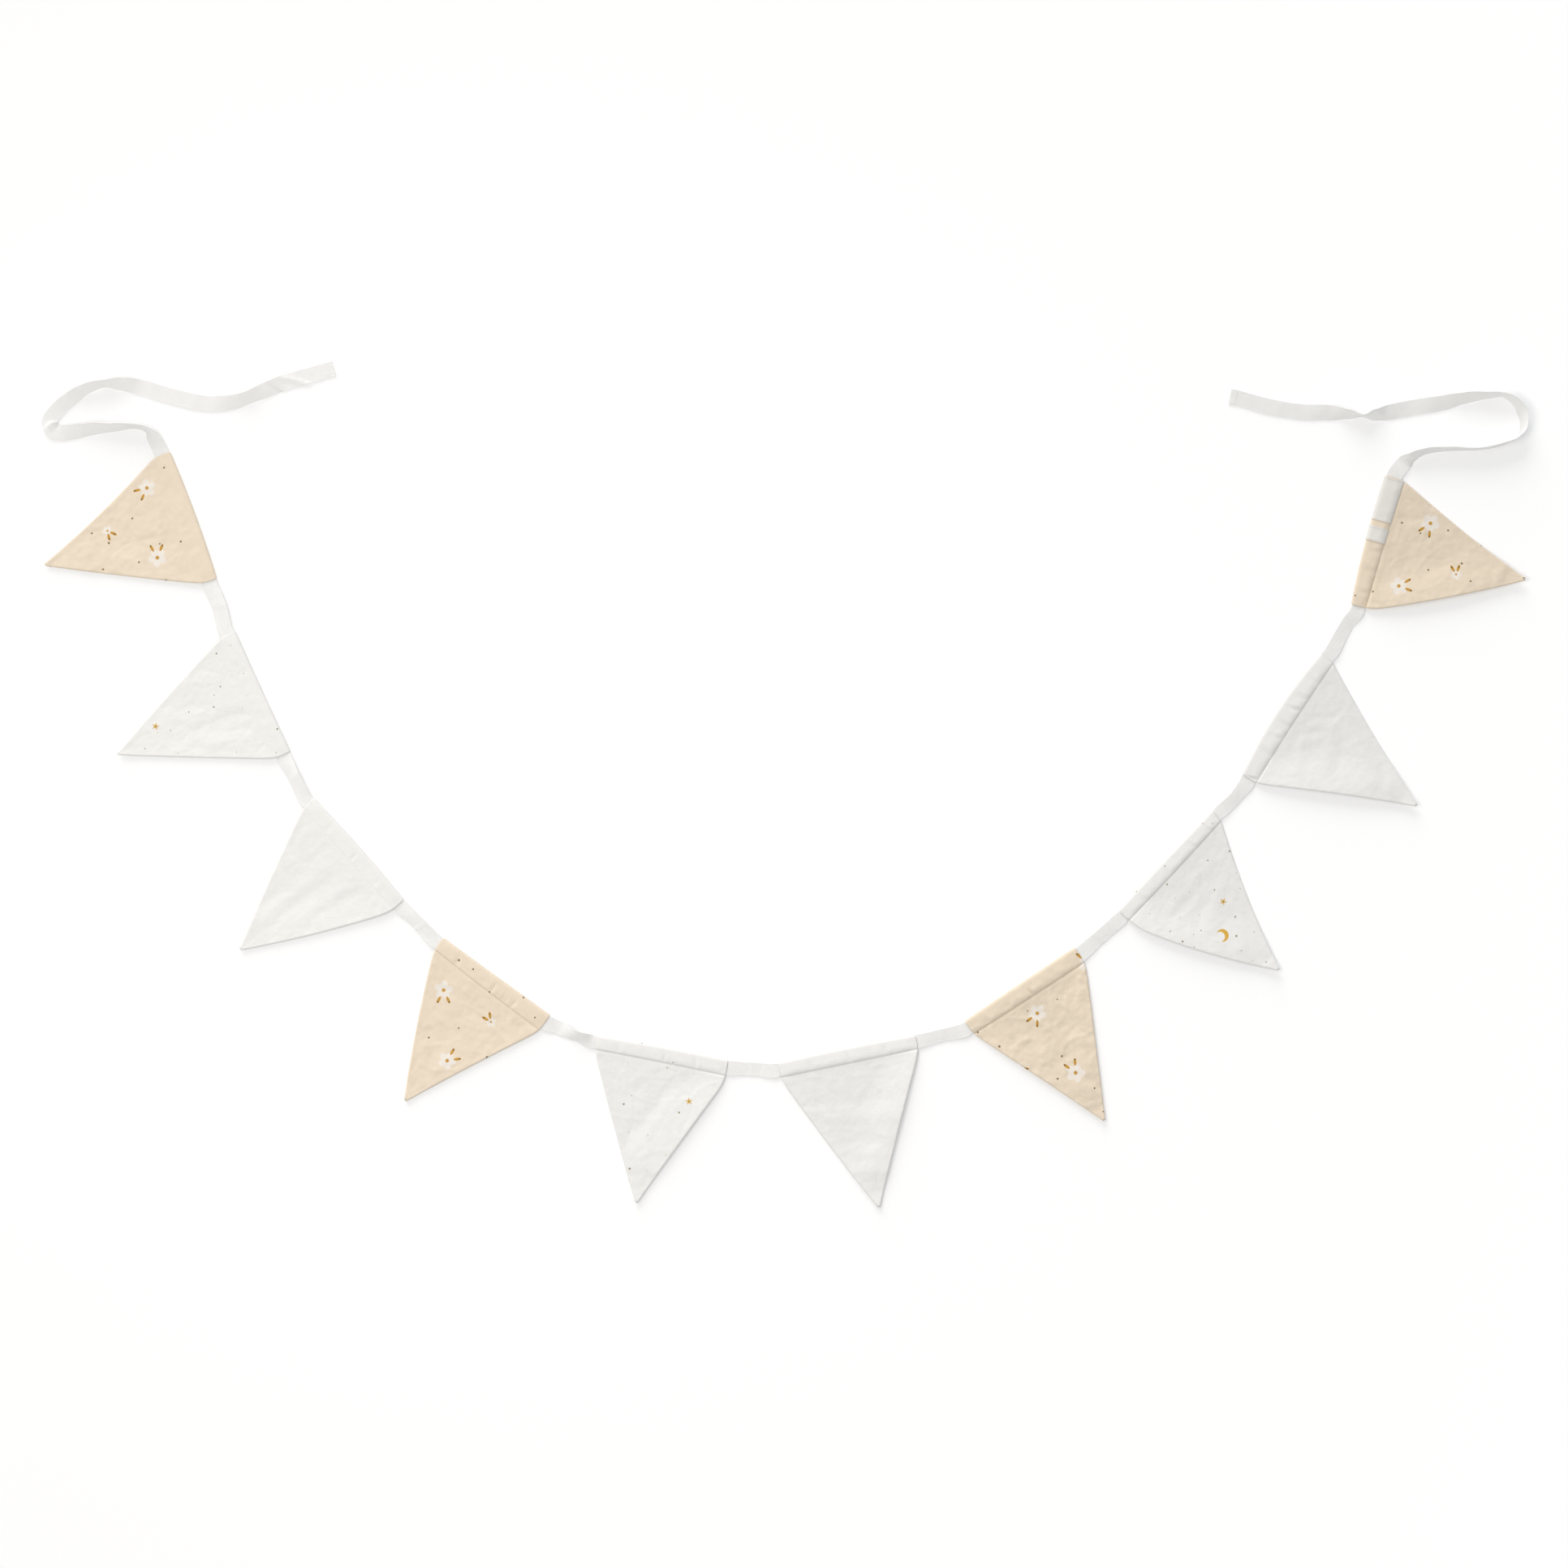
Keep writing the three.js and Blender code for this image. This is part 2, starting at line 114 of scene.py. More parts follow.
# %% Table
TABLE_HALF = 4.0
TABLE_DROP = 0.2 * MM
TABLE_SQUARES = 4
table_shape = bmesh.new()
bmesh.ops.create_grid(table_shape, x_segments=TABLE_SQUARES, y_segments=TABLE_SQUARES, size=TABLE_HALF)
bmesh.ops.translate(table_shape, verts=table_shape.verts[:], vec=(0, 0, -TABLE_DROP))
table_mesh = bpy.data.meshes.new("table_top")
table_shape.to_mesh(table_mesh)
table_shape.free()
table_top = bpy.data.objects.new("table_top", table_mesh)
scene.collection.objects.link(table_top)
print("table side in m:", 2 * TABLE_HALF)

# %% [markdown]
# ## The flags' cuts
# Every flag has the same pattern, but hand sewing and lying loose make each one a little different: how
# long its fold is, where its point hangs, how its sides bow, and which of its edges stand off the table.
# These are the sizes of the part's own solids, in mm. A second table says how each cloth was sewn and worn:
# how far from the fold its row of stitching runs at the start, the middle and the end, how far the casing
# puffs up and how round it is, how deep the row sinks, how level casing and panel run on, how crumpled the
# cloth is, and at which turn and place it was cut from the printed length. Ten hand-made meshes would hide
# what the flags share, so one pattern reads both tables.

# %% Sizes of the flags
# The fold's start, heading and width, the drop to the point and its place along the fold, the fold's bows,
# the reach of the casing's ends and of the sides, the sides' bows, and the lifts of both sides and the point.
Flag = namedtuple("Flag", "cloth x y heading width drop tip fold ends sides bulge lift")
FLAGS = [
    Flag("beige", -581.5, 315, -70.4, 124, 148, 61,
         (-0.5, 2, 1), (0.5, 4), (-0.5, 3), (-2.5, 1), (0, 1.5, 2)),
    Flag("starry", -521.5, 146.5, -65, 124, 149.5, 60.5,
         (0.5, -0.2, -0.2), (-1.2, 3.5), (-2.5, 3.5), (1, 0.5), (0, 1.5, 3)),
    Flag("plain", -446, -14.5, -48.3, 124, 146.5, 60,
         (1.2, 2.3, 0.7), (0.8, 4.2), (-0.5, 5), (1, 2.5), (0, 2, 2)),
    Flag("beige", -323.5, -145.5, -36, 124.5, 146, 62,
         (0, 0, 0.3), (-0.3, 1.3), (-1, 3), (2, -1.2), (0, 2, 2)),
    Flag("starry", -178, -238.5, -10, 125, 149, 65,
         (0.3, 0.6, -1), (-1.2, 2.3), (-2, 5), (1, -0.8), (0, 4, 3)),
    Flag("plain", -6, -264, 11.2, 130, 153, 67.5,
         (0, 1.2, 0.3), (-0.2, 3.3), (0, 3), (1.5, -1), (0, 5.5, 3)),
    Flag("beige", 171, -225, 33.8, 123, 151.5, 58,
         (0, 0.3, 0), (-0.2, 3), (-1, 4), (-0.5, 0), (3, 3, 4)),
    Flag("starry", 317, -119.5, 45.5, 130.5, 147.5, 66,
         (-0.3, 1.8, 2.6), (0, -1), (3, -4), (4.5, -3), (6, 0, 6)),
    Flag("plain", 436, 7.5, 57.6, 139.5, 152.5, 64,
         (2.5, 6.7, 0.7), (-0.5, -2.5), (0, -5), (-1.5, -1.5), (7, 0, 6.5)),
    Flag("beige", 538, 170, 74, 126.5, 151, 68,
         (0.3, 3.6, 2.6), (-0.3, 0.5), (1, 1), (2.5, -2), (7, 0, 7)),
]
Wear = namedtuple("Wear", "seam puff round groove flush crumple print_turn print_x print_y")
WEAR = [
    Wear((16.2, 16.2, 16.2), 0.0, 0.0, 0.0, 0.97, 0.24, 230, 14, 70),
    Wear((16.2, 16.2, 16.2), 0.0, 0.0, 0.0, 0.97, 0.18, 210, 72, 64),
    Wear((12.4, 13.3, 13.3), 0.0, 0.0, 0.1, 0.90, 0.12, -48, 0, 0),
    Wear((13.8, 16.3, 17.2), 0.1, 0.0, 0.5, 0.45, 0.22, 90, 91, 0),
    Wear((13.0, 14.0, 16.0), 0.2, 0.0, 0.4, 0.30, 0.15, 320, 56, 0),
    Wear((14.3, 13.8, 13.0), 0.5, 0.0, 0.3, 0.30, 0.14, 11, 0, 0),
    Wear((14.7, 16.0, 16.7), 0.5, 0.1, 0.8, 0.10, 0.34, 310, 63, 35),
    Wear((13.8, 12.6, 10.2), 0.6, 0.1, 0.3, 0.30, 0.14, 45.5, 1.5, 54),
    Wear((13.0, 12.6, 14.0), 0.7, 0.2, 0.3, 0.30, 0.12, 58, 0, 0),
    Wear((13.8, 14.0, 15.5), 0.7, 0.7, 0.6, 0.05, 0.24, 230, 21, 70),
]
print("flags:", len(FLAGS), "longest fold in mm:", max(flag.width for flag in FLAGS))

# %% Curves that the cloth follows
def hump(part):
    """0 at both ends and 1 in the middle."""
    return 4 * part * (1 - part)


def between(low, high, part):
    return low + (high - low) * part


def through(values, part):
    """A curve through three values at the start, the middle and the end."""
    start, middle, end = values
    return start * (1 - part) * (1 - 2 * part) + middle * hump(part) + end * part * (2 * part - 1)


def ease(value, low, high):
    """0 below low, 1 above high, and a soft rise between them."""
    part = np.clip((value - low) / (high - low), 0, 1)
    return part * part * (3 - 2 * part)


def fall_off(distance, spread):
    return np.exp(-((distance / spread) ** 2))


def uneven(along, down, size, seed):
    """Soft random unevenness from -1 to 1, with lumps of a size in mm, the same on every run."""
    spots = zip(along / size, down / size)
    return np.array([noise.noise((a, d, seed)) for a, d in spots])


def round_rim(part):
    """A quarter of a circle: 0 at a rim and 1 from a part of 1 inwards."""
    return np.sqrt(1 - (1 - np.clip(part, 0, 1)) ** 2)


print("a curve through 0, 1 and 0, a quarter of the way:", through((0, 1, 0), 0.25))

# %% Outline of a flag
CASING_DEPTH = 17.1
TIP_WIDTH = 2.4
CORNER_BLEND = 0.6
CORNER_ROUND = 2.5


def soft_lesser(first, second):
    """The lesser of two lengths, with a soft round where they are alike."""
    return -np.log(np.exp(-first * CORNER_BLEND) + np.exp(-second * CORNER_BLEND)) / CORNER_BLEND


def side_edges(flag, down):
    """Where the cloth starts and ends, down from the fold: square at the casing, then to the point."""
    q = (down - CASING_DEPTH) / (flag.drop - CASING_DEPTH)
    bow = hump(np.maximum(q, 0))
    start_line = between(flag.sides[0], TIP_WIDTH / 2 - flag.tip, q) + flag.bulge[0] * bow
    end_line = between(flag.width + flag.sides[1], flag.tip + TIP_WIDTH / 2, q) + flag.bulge[1] * bow
    above = np.clip(CORNER_ROUND - down, 0, CORNER_ROUND)
    inset = CORNER_ROUND - np.sqrt(CORNER_ROUND**2 - above**2)
    start = inset - soft_lesser(start_line, flag.ends[0])
    end = soft_lesser(end_line, flag.width + flag.ends[1]) - inset
    return start, end


def on_cloth(heading, x, y, along, down):
    """A place along a fold that starts at x, y and runs at a heading, and down from that fold."""
    turn = math.radians(heading)
    way_x, way_y = math.cos(turn), math.sin(turn)
    return x + along * way_x + down * way_y, y + along * way_y - down * way_x


casing_ends = [round(float(edge), 1) for edge in side_edges(FLAGS[0], CASING_DEPTH)]
print("the first flag's casing runs in mm from and to:", casing_ends)

# %% [markdown]
# ## A sheet with two faces
# Cloth is thin, but it isn't a plane: its two faces and its rim have to close, or light leaks through and
# the mesh has no inside. A grid is extruded once, which gives a flat slab with a face on each side
# and a rim between. Each of its points is then laid where the cloth lies. The slab's own place on the grid
# is kept as a UV map in metres of flat cloth, so that weave and print follow the folds. A Solidify modifier
# could give the thickness too, but here the two layers of a flag part from each other, and only the upper
# one shows the small creases.

# %% Helpers for a sheet
CLOTH_MAP = "cloth"


def unit_slab(columns, rows):
    """A flat slab, one unit wide, long and high, with a grid on both faces."""
    slab = bmesh.new()
    bmesh.ops.create_grid(slab, x_segments=columns, y_segments=rows, size=0.5)
    grown = bmesh.ops.extrude_face_region(slab, geom=slab.faces[:], use_keep_orig=True)
    upper = [item for item in grown["geom"] if isinstance(item, bmesh.types.BMVert)]
    bmesh.ops.translate(slab, verts=upper, vec=(0, 0, 1))
    return slab


def lay_sheet(name, slab, place, flat):
    """Lays a slab by place(u, v, upper), in mm, and maps it by flat(u, v), in mm of flat cloth."""
    spots = np.array([vert.co for vert in slab.verts])
    u, v, upper = spots[:, 0] + 0.5, spots[:, 1] + 0.5, spots[:, 2]
    laid = place(u, v, upper) * MM
    mapped = flat(u, v) * MM
    cloth_map = slab.loops.layers.uv.new(CLOTH_MAP)
    slab.verts.index_update()
    for face in slab.faces:
        face.smooth = True
        for corner in face.loops:
            corner[cloth_map].uv = mapped[corner.vert.index]
    for vert, spot in zip(slab.verts, laid):
        vert.co = spot
    bmesh.ops.recalc_face_normals(slab, faces=slab.faces[:])
    return add_piece(name, slab)


def add_piece(name, shape):
    """A shape as an object of the scene that rides with the part."""
    mesh = bpy.data.meshes.new(name)
    shape.to_mesh(mesh)
    shape.free()
    piece = bpy.data.objects.new(name, mesh)
    scene.collection.objects.link(piece)
    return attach(piece, "root")


print("name of the cloth's own map:", CLOTH_MAP)

# %% [markdown]
# ## The casing
# The top of a flag is folded over to the back and sewn down, which leaves a flat tube for the tape. The
# wall of the tube is one run of cloth: from the turned-under edge below, along the table to the fold, round
# it, over the tape, and down to the row of stitching. It could be a bent pipe, but a real casing is flat
# below and crowned on top, so its section is drawn as a few rows and smoothed. The tape pushes it
# up, more on some flags than on others, and small creases run across it where the stitching gathers the
# cloth.

# %% Smooth curve
LEAST_GAP = 0.01


def smooth_curve(rows, places):
    """Points on a smooth curve through rows of coordinates, at places counted in rows from the first."""
    ends = np.vstack([2 * rows[0] - rows[1], rows, 2 * rows[-1] - rows[-2]])
    row = np.minimum(places.astype(int), len(rows) - 2)
    part = (places - row)[:, None]
    before, near, far, after = (ends[row + step] for step in range(4))
    pairs = ((before, near), (near, far), (far, after))
    gaps = [np.linalg.norm(end - start, axis=1, keepdims=True) ** 0.5 for start, end in pairs]
    first, middle, last = (np.maximum(gap, LEAST_GAP) for gap in gaps)
    leave = ((near - before) / first - (far - before) / (first + middle) + (far - near) / middle) * middle
    reach = ((far - near) / middle - (after - near) / (middle + last) + (after - far) / last) * middle
    bend = 3 * (far - near) - 2 * leave - reach
    return near + leave * part + bend * part**2 + (2 * (near - far) + leave + reach) * part**3


corner = np.array([(0.0, 0.0), (1.0, 0.0), (1.0, 1.0)])
print("a smooth corner, half of the way to it:", smooth_curve(corner, np.array([0.5]))[0].round(2))

# %% The casing's section
WALL = 0.9
SECTION_DEPTH = 15.0
SECTION_POINTS = 400
# Rows of the section: the share of the casing's depth, and the height in mm if the casing is flat or round.
CASING_SECTION = [
    (1.0, 0.47, 0.47), (0.7, 0.47, 0.47), (0.35, 0.47, 0.47), (0.12, 0.5, 0.5), (0.045, 0.8, 0.8),
    (0.03, 1.4, 1.4), (0.045, 2.2, 2.2), (0.09, 2.9, 2.85), (0.16, 3.25, 3.2), (0.3, 3.4, 3.38),
    (0.5, 3.42, 3.42), (0.7, 3.38, 3.2), (0.85, 3.15, 2.65), (0.93, 2.75, 2.2), (0.975, 2.1, 1.8),
    (1.0, 1.5, 1.5),
]

section_rows = np.array(CASING_SECTION) * (SECTION_DEPTH, 1, 1)
section_fine = smooth_curve(section_rows, np.linspace(0, len(section_rows) - 1, SECTION_POINTS))
section_round = section_fine[:, 2]
section_fine = section_fine[:, :2]
section_steps = np.linalg.norm(np.diff(section_fine, axis=0), axis=1)
section_length = np.concatenate([[0], np.cumsum(section_steps)])
SECTION_RUN = section_length[-1]
section_way = np.gradient(section_fine, axis=0)
section_way /= np.linalg.norm(section_way, axis=1, keepdims=True)


def casing_wall(part):
    """The wall at a part of its run: share of the depth, height if flat and if round, and its way out."""
    run = part * SECTION_RUN
    down, flat = (np.interp(run, section_length, column) for column in section_fine.T)
    way_down, way_up = (np.interp(run, section_length, column) for column in section_way.T)
    return down / SECTION_DEPTH, flat, np.interp(run, section_length, section_round), -way_up, way_down


print("run of cloth round the casing in mm:", round(SECTION_RUN, 1))

# %% Puckers
Pucker = namedtuple("Pucker", "flag along lean depth spread")
PUCKERS = [Pucker(*row) for row in (
    (1, 70, 0.2, 0.2, 2.2), (1, 80, -0.1, 0.2, 2.0), (1, 93, 0.1, 0.2, 2.4), (2, 40, 0.1, 0.2, 2.5),
    (2, 88, -0.2, 0.2, 3.0), (3, 30, 0.1, 0.2, 2.4), (3, 66, 0.1, 0.45, 1.3), (3, 98, 0.0, 0.2, 2.6),
    (4, 24, 0.3, 0.5, 2.2), (4, 67, 0.05, 0.9, 1.1), (4, 80, 0.0, 0.6, 1.1), (4, 83, 0.1, 0.5, 1.0),
    (4, 92, -0.2, 0.6, 1.2), (5, 22, 0.2, 0.3, 3.0), (5, 67, 0.1, 0.7, 1.3), (5, 97, 0.2, 0.7, 1.4),
    (6, 30, 0.1, 0.3, 3.0), (6, 67, 0.2, 0.6, 1.6), (6, 101, 0.1, 0.3, 2.4), (7, 18, 0.2, 0.4, 2.2),
    (7, 44, -0.1, 0.4, 2.0), (7, 66, 0.4, 0.8, 1.2), (7, 70, -0.4, 0.7, 1.2), (7, 96, 0.1, 0.4, 2.6),
    (8, 24, 0.1, 0.4, 2.6), (8, 58, -0.1, 0.4, 2.4), (8, 92, 0.2, 0.5, 2.2), (8, 114, 0.0, 0.4, 2.0),
    (9, 2, 0.2, 0.8, 1.4), (9, 30, -0.2, 0.5, 2.6), (9, 47, 0.2, 0.5, 2.2), (9, 63, -0.3, 0.6, 2.0),
    (9, 79, 0.3, 0.9, 1.3), (9, 92, 0.1, 0.5, 2.6), (9, 112, -0.2, 0.5, 2.4), (10, 14, 0.1, 0.5, 2.4),
    (10, 36, -0.1, 0.5, 2.6), (10, 54, 0.2, 0.4, 2.2),
)]
print("puckers across the casings:", len(PUCKERS))

# %% Places on a casing
TOP_FROM = 0.42
TOP_TO = 0.52
CROWN_HEIGHT = 3.42
SEAM_HEIGHT = 1.5
FLUSH_FROM = 0.55
FLUSH_TO = 0.92
PEAK_SHIFT = 2.2
END_TAPER = 14
END_PUFF = 0.3
END_HEIGHT = 0.8
END_REACH = 10
END_SINK_TO = 0.8
PUFF_LUMP = 26
PUFF_UNEVEN = 0.3
PUCKER_DEPTH = 1.4
PUCKER_RIDGE = 0.4
CRUMPLE_LUMP = 7
CRUMPLE_SEED = 20
CASING_CRUMPLE = 1.6
LEAST_HEIGHT = 0.02


def casing_depth(number, u):
    """From the fold to the row of stitching. The stitching runs straighter than the fold."""
    return through(WEAR[number - 1].seam, u) + through(FLAGS[number - 1].fold, u)


def casing_points(number, u, part, out):
    """Points of a flag's casing: u along it, part round its section, and out from the middle of its wall."""
    flag, wear = FLAGS[number - 1], WEAR[number - 1]
    share, flat, rounded, out_down, out_up = casing_wall(part)
    below_fold = share * casing_depth(number, u)
    start, end = side_edges(flag, below_fold)
    along = between(start, end, u)
    on_top = ease(part, TOP_FROM, TOP_TO)
    crown = np.sin(math.pi * np.clip(share, 0, 1) ** PEAK_SHIFT)
    from_end = np.minimum(along - start, end - along)
    puff = wear.puff * (1 + PUFF_UNEVEN * uneven(along, 0 * along, PUFF_LUMP, number))
    puff = puff * between(END_PUFF, 1, ease(from_end, 0, END_TAPER))
    for pucker in PUCKERS:
        if pucker.flag == number:
            across = along - pucker.along - pucker.lean * (share - 0.5) * SECTION_DEPTH
            depth = PUCKER_DEPTH * pucker.depth
            puff = puff - depth * fall_off(across, pucker.spread)
            puff = puff + PUCKER_RIDGE * depth * fall_off(across - 2 * pucker.spread, pucker.spread)
    height = between(flat, rounded, wear.round)
    sink = (1 - END_HEIGHT) * (1 - ease(from_end, 0, END_REACH)) * (1 - ease(share, END_SINK_TO, 1))
    height = height - on_top * sink * (height - WALL)
    level = on_top * wear.flush * ease(share, FLUSH_FROM, FLUSH_TO)
    height = between(height, CROWN_HEIGHT, level)
    out_down, out_up = out_down * (1 - level), between(out_up, 1, level)
    lumps = uneven(along, below_fold, CRUMPLE_LUMP, number + CRUMPLE_SEED)
    lift = puff * crown + CASING_CRUMPLE * wear.crumple * crown * lumps
    height = np.maximum(height + on_top * lift + out_up * out, LEAST_HEIGHT)
    down = below_fold - through(flag.fold, u) + out_down * out
    x, y = on_cloth(flag.heading, flag.x, flag.y, along, down)
    return np.stack([x, y, height], 1)


def casing_place(number, along, part):
    """Where a length along the fold falls between the casing's two ends, from 0 to 1."""
    flag = FLAGS[number - 1]
    below_fold = casing_wall(part)[0] * casing_depth(number, along / flag.width)
    start, end = side_edges(flag, below_fold)
    return (along - start) / (end - start)


whole_run = np.linspace(0, 1, 50)
crown_top = max(casing_points(1, np.full(len(whole_run), 0.5), whole_run, WALL / 2)[:, 2])
print("height of the first casing in mm:", round(float(crown_top), 2))

# %% [markdown]
# ## The panel below it
# Below the stitching the flag is a flat pocket of two layers, turned right side out, so its sides are soft,
# rounded seams. It lies on the table but for its lower edge and its point, which stand off a little and
# throw the shadows. The main folds lift both layers. The finer creases belong to the upper layer alone:
# each is a soft ridge or, with a rise below zero, a trough, placed where this cloth has one. Cloth
# simulation could drop the flag on the table, but it would make new creases of its own.

# %% Folds and creases of the panels
Fold = namedtuple("Fold", "flag along down to_along to_down rise spread")
FOLDS = [Fold(*row) for row in (
    (1, 40, 40, 62, 105, 0.9, 9), (1, 88, 45, 72, 110, 1.0, 10), (2, 28, 66, 38, 34, 1.1, 8),
    (2, 46, 108, 64, 52, 1.4, 9), (2, 90, 66, 98, 30, 1.1, 8), (3, 28, 34, 34, 78, 1.0, 7),
    (3, 55, 30, 52, 118, 1.1, 7), (3, 82, 32, 72, 96, 1.0, 7), (4, 42, 34, 50, 96, 0.9, 8),
    (4, 80, 30, 70, 100, 1.0, 9), (5, 56, 104, 84, 50, 1.5, 11), (5, 30, 34, 62, 40, 0.8, 8),
    (6, 32, 62, 100, 70, 1.2, 9), (6, 56, 116, 84, 122, 1.1, 8), (7, 46, 66, 82, 76, 1.0, 9),
    (7, 58, 112, 74, 96, 0.9, 8), (8, 38, 34, 92, 30, 1.1, 7), (8, 50, 74, 84, 52, 1.2, 8),
    (9, 50, 58, 92, 46, 1.0, 10), (9, 58, 104, 80, 84, 0.9, 9), (10, 84, 24, 88, 62, 1.2, 8),
    (10, 58, 126, 74, 130, 1.5, 6),
)]
CREASES = [Fold(*row) for row in (
    (1, 62, 22, 66, 44, 0.2, 4), (1, 78, 22, 80, 40, -0.2, 4), (1, 96, 24, 92, 48, 0.2, 4),
    (2, 24, 30, 20, 60, -0.2, 5), (2, 52, 60, 44, 112, -0.3, 5), (2, 76, 24, 72, 70, -0.3, 6),
    (3, 18, 24, 26, 60, 0.2, 4), (3, 42, 24, 44, 100, -0.25, 5), (3, 68, 24, 62, 110, -0.3, 5),
    (3, 96, 24, 84, 74, -0.25, 5), (4, 24, 26, 36, 70, -0.2, 5), (4, 60, 24, 60, 110, -0.25, 6),
    (4, 98, 24, 86, 66, 0.2, 5), (5, 46, 96, 76, 40, -0.4, 6), (5, 86, 24, 98, 34, -0.3, 5),
    (5, 66, 134, 66, 96, 0.2, 4), (6, 28, 46, 96, 54, -0.3, 6), (6, 44, 86, 92, 94, -0.35, 7),
    (6, 58, 100, 84, 104, 0.2, 5), (7, 30, 40, 70, 48, -0.3, 5), (7, 52, 90, 84, 60, -0.4, 6),
    (7, 90, 28, 84, 58, 0.3, 4), (7, 50, 130, 66, 136, 0.5, 2.5), (8, 30, 42, 96, 40, -0.35, 5),
    (8, 48, 60, 90, 44, -0.3, 5), (8, 58, 108, 80, 84, 0.3, 5), (8, 56, 136, 70, 140, 0.4, 2.5),
    (9, 30, 40, 60, 28, 0.35, 5), (9, 60, 24, 76, 40, -0.45, 4), (9, 80, 26, 94, 44, -0.4, 4),
    (9, 46, 72, 78, 64, -0.35, 6), (9, 62, 92, 76, 70, 0.35, 5), (9, 56, 116, 74, 112, -0.3, 5),
    (9, 88, 62, 76, 96, 0.3, 5), (10, 91, 22, 97, 48, -0.5, 2.6), (10, 44, 50, 66, 84, -0.3, 6),
    (10, 86, 60, 80, 92, 0.3, 5), (10, 60, 100, 70, 122, -0.3, 6), (10, 60, 133, 78, 133, -0.5, 2.0),
    (10, 26, 40, 40, 66, 0.2, 6),
)]


def fold_height(folds, number, along, down):
    """The summed height of a flag's folds."""
    height = np.zeros(len(along))
    for fold in folds:
        if fold.flag == number:
            run_along, run_down = fold.to_along - fold.along, fold.to_down - fold.down
            from_along, from_down = along - fold.along, down - fold.down
            part = (from_along * run_along + from_down * run_down) / (run_along**2 + run_down**2)
            part = np.clip(part, 0, 1)
            distance = np.hypot(from_along - part * run_along, from_down - part * run_down)
            height += fold.rise * fall_off(distance, fold.spread)
    return height


print("folds:", len(FOLDS), "creases:", len(CREASES))

# %% Places on a panel
PANEL_THICKNESS = 1.8
FULL_BY = 8
CREASED_BY = 6
LEAST_THICKNESS = 0.25
EDGE_LIFT_REACH = 26
EDGE_LIFT_SHIFT = 0.1
TIP_CURL_POWER = 4
SETTLED_BY = 0.5
SEAM_BULK = 0.35
SEAM_REACH = 5
EDGE_ROUND = 1.7
EDGE_LEAST = 0.16
EDGE_MIDDLE = 0.35
TIP_BLUNT = EDGE_ROUND / 3
FLUSH_REACH = 30
FOLD_SHARE = 0.55
STITCH_HEIGHT = 1.05
STITCH_REACH = 5
GROOVE_REACH = 0.9
GROOVE_DEPTH = 0.4
SWELL_AT = 3.0
SWELL_REACH = 2.4
Lump = namedtuple("Lump", "size height seed")
LUMPS = [Lump(4.5, 1.0, 0), Lump(8.5, 1.3, 80), Lump(17, 1.3, 40)]
SEAM_LUMP = 5.5
SEAM_LUMP_HEIGHT = 0.18
SEAM_LUMP_SEED = 60
WRINKLE_LUMP = 24
WRINKLE_STRETCH = 1.7
WRINKLE_WIDTH = 0.09
WRINKLE_RISE = 1.2
WRINKLE_RISE_SEED = 120
WRINKLE_SINK = 1.0
WRINKLE_SINK_SEED = 140


def panel_places(number, u, q):
    """Where a panel's points lie in its cloth: u from side to side, q from the stitching to the point."""
    flag = FLAGS[number - 1]
    down = between(through(WEAR[number - 1].seam, u), flag.drop, q)
    start_edge, end_edge = side_edges(flag, down + through(flag.fold, u) * (1 - q))
    return between(start_edge, end_edge, u), down, start_edge, end_edge


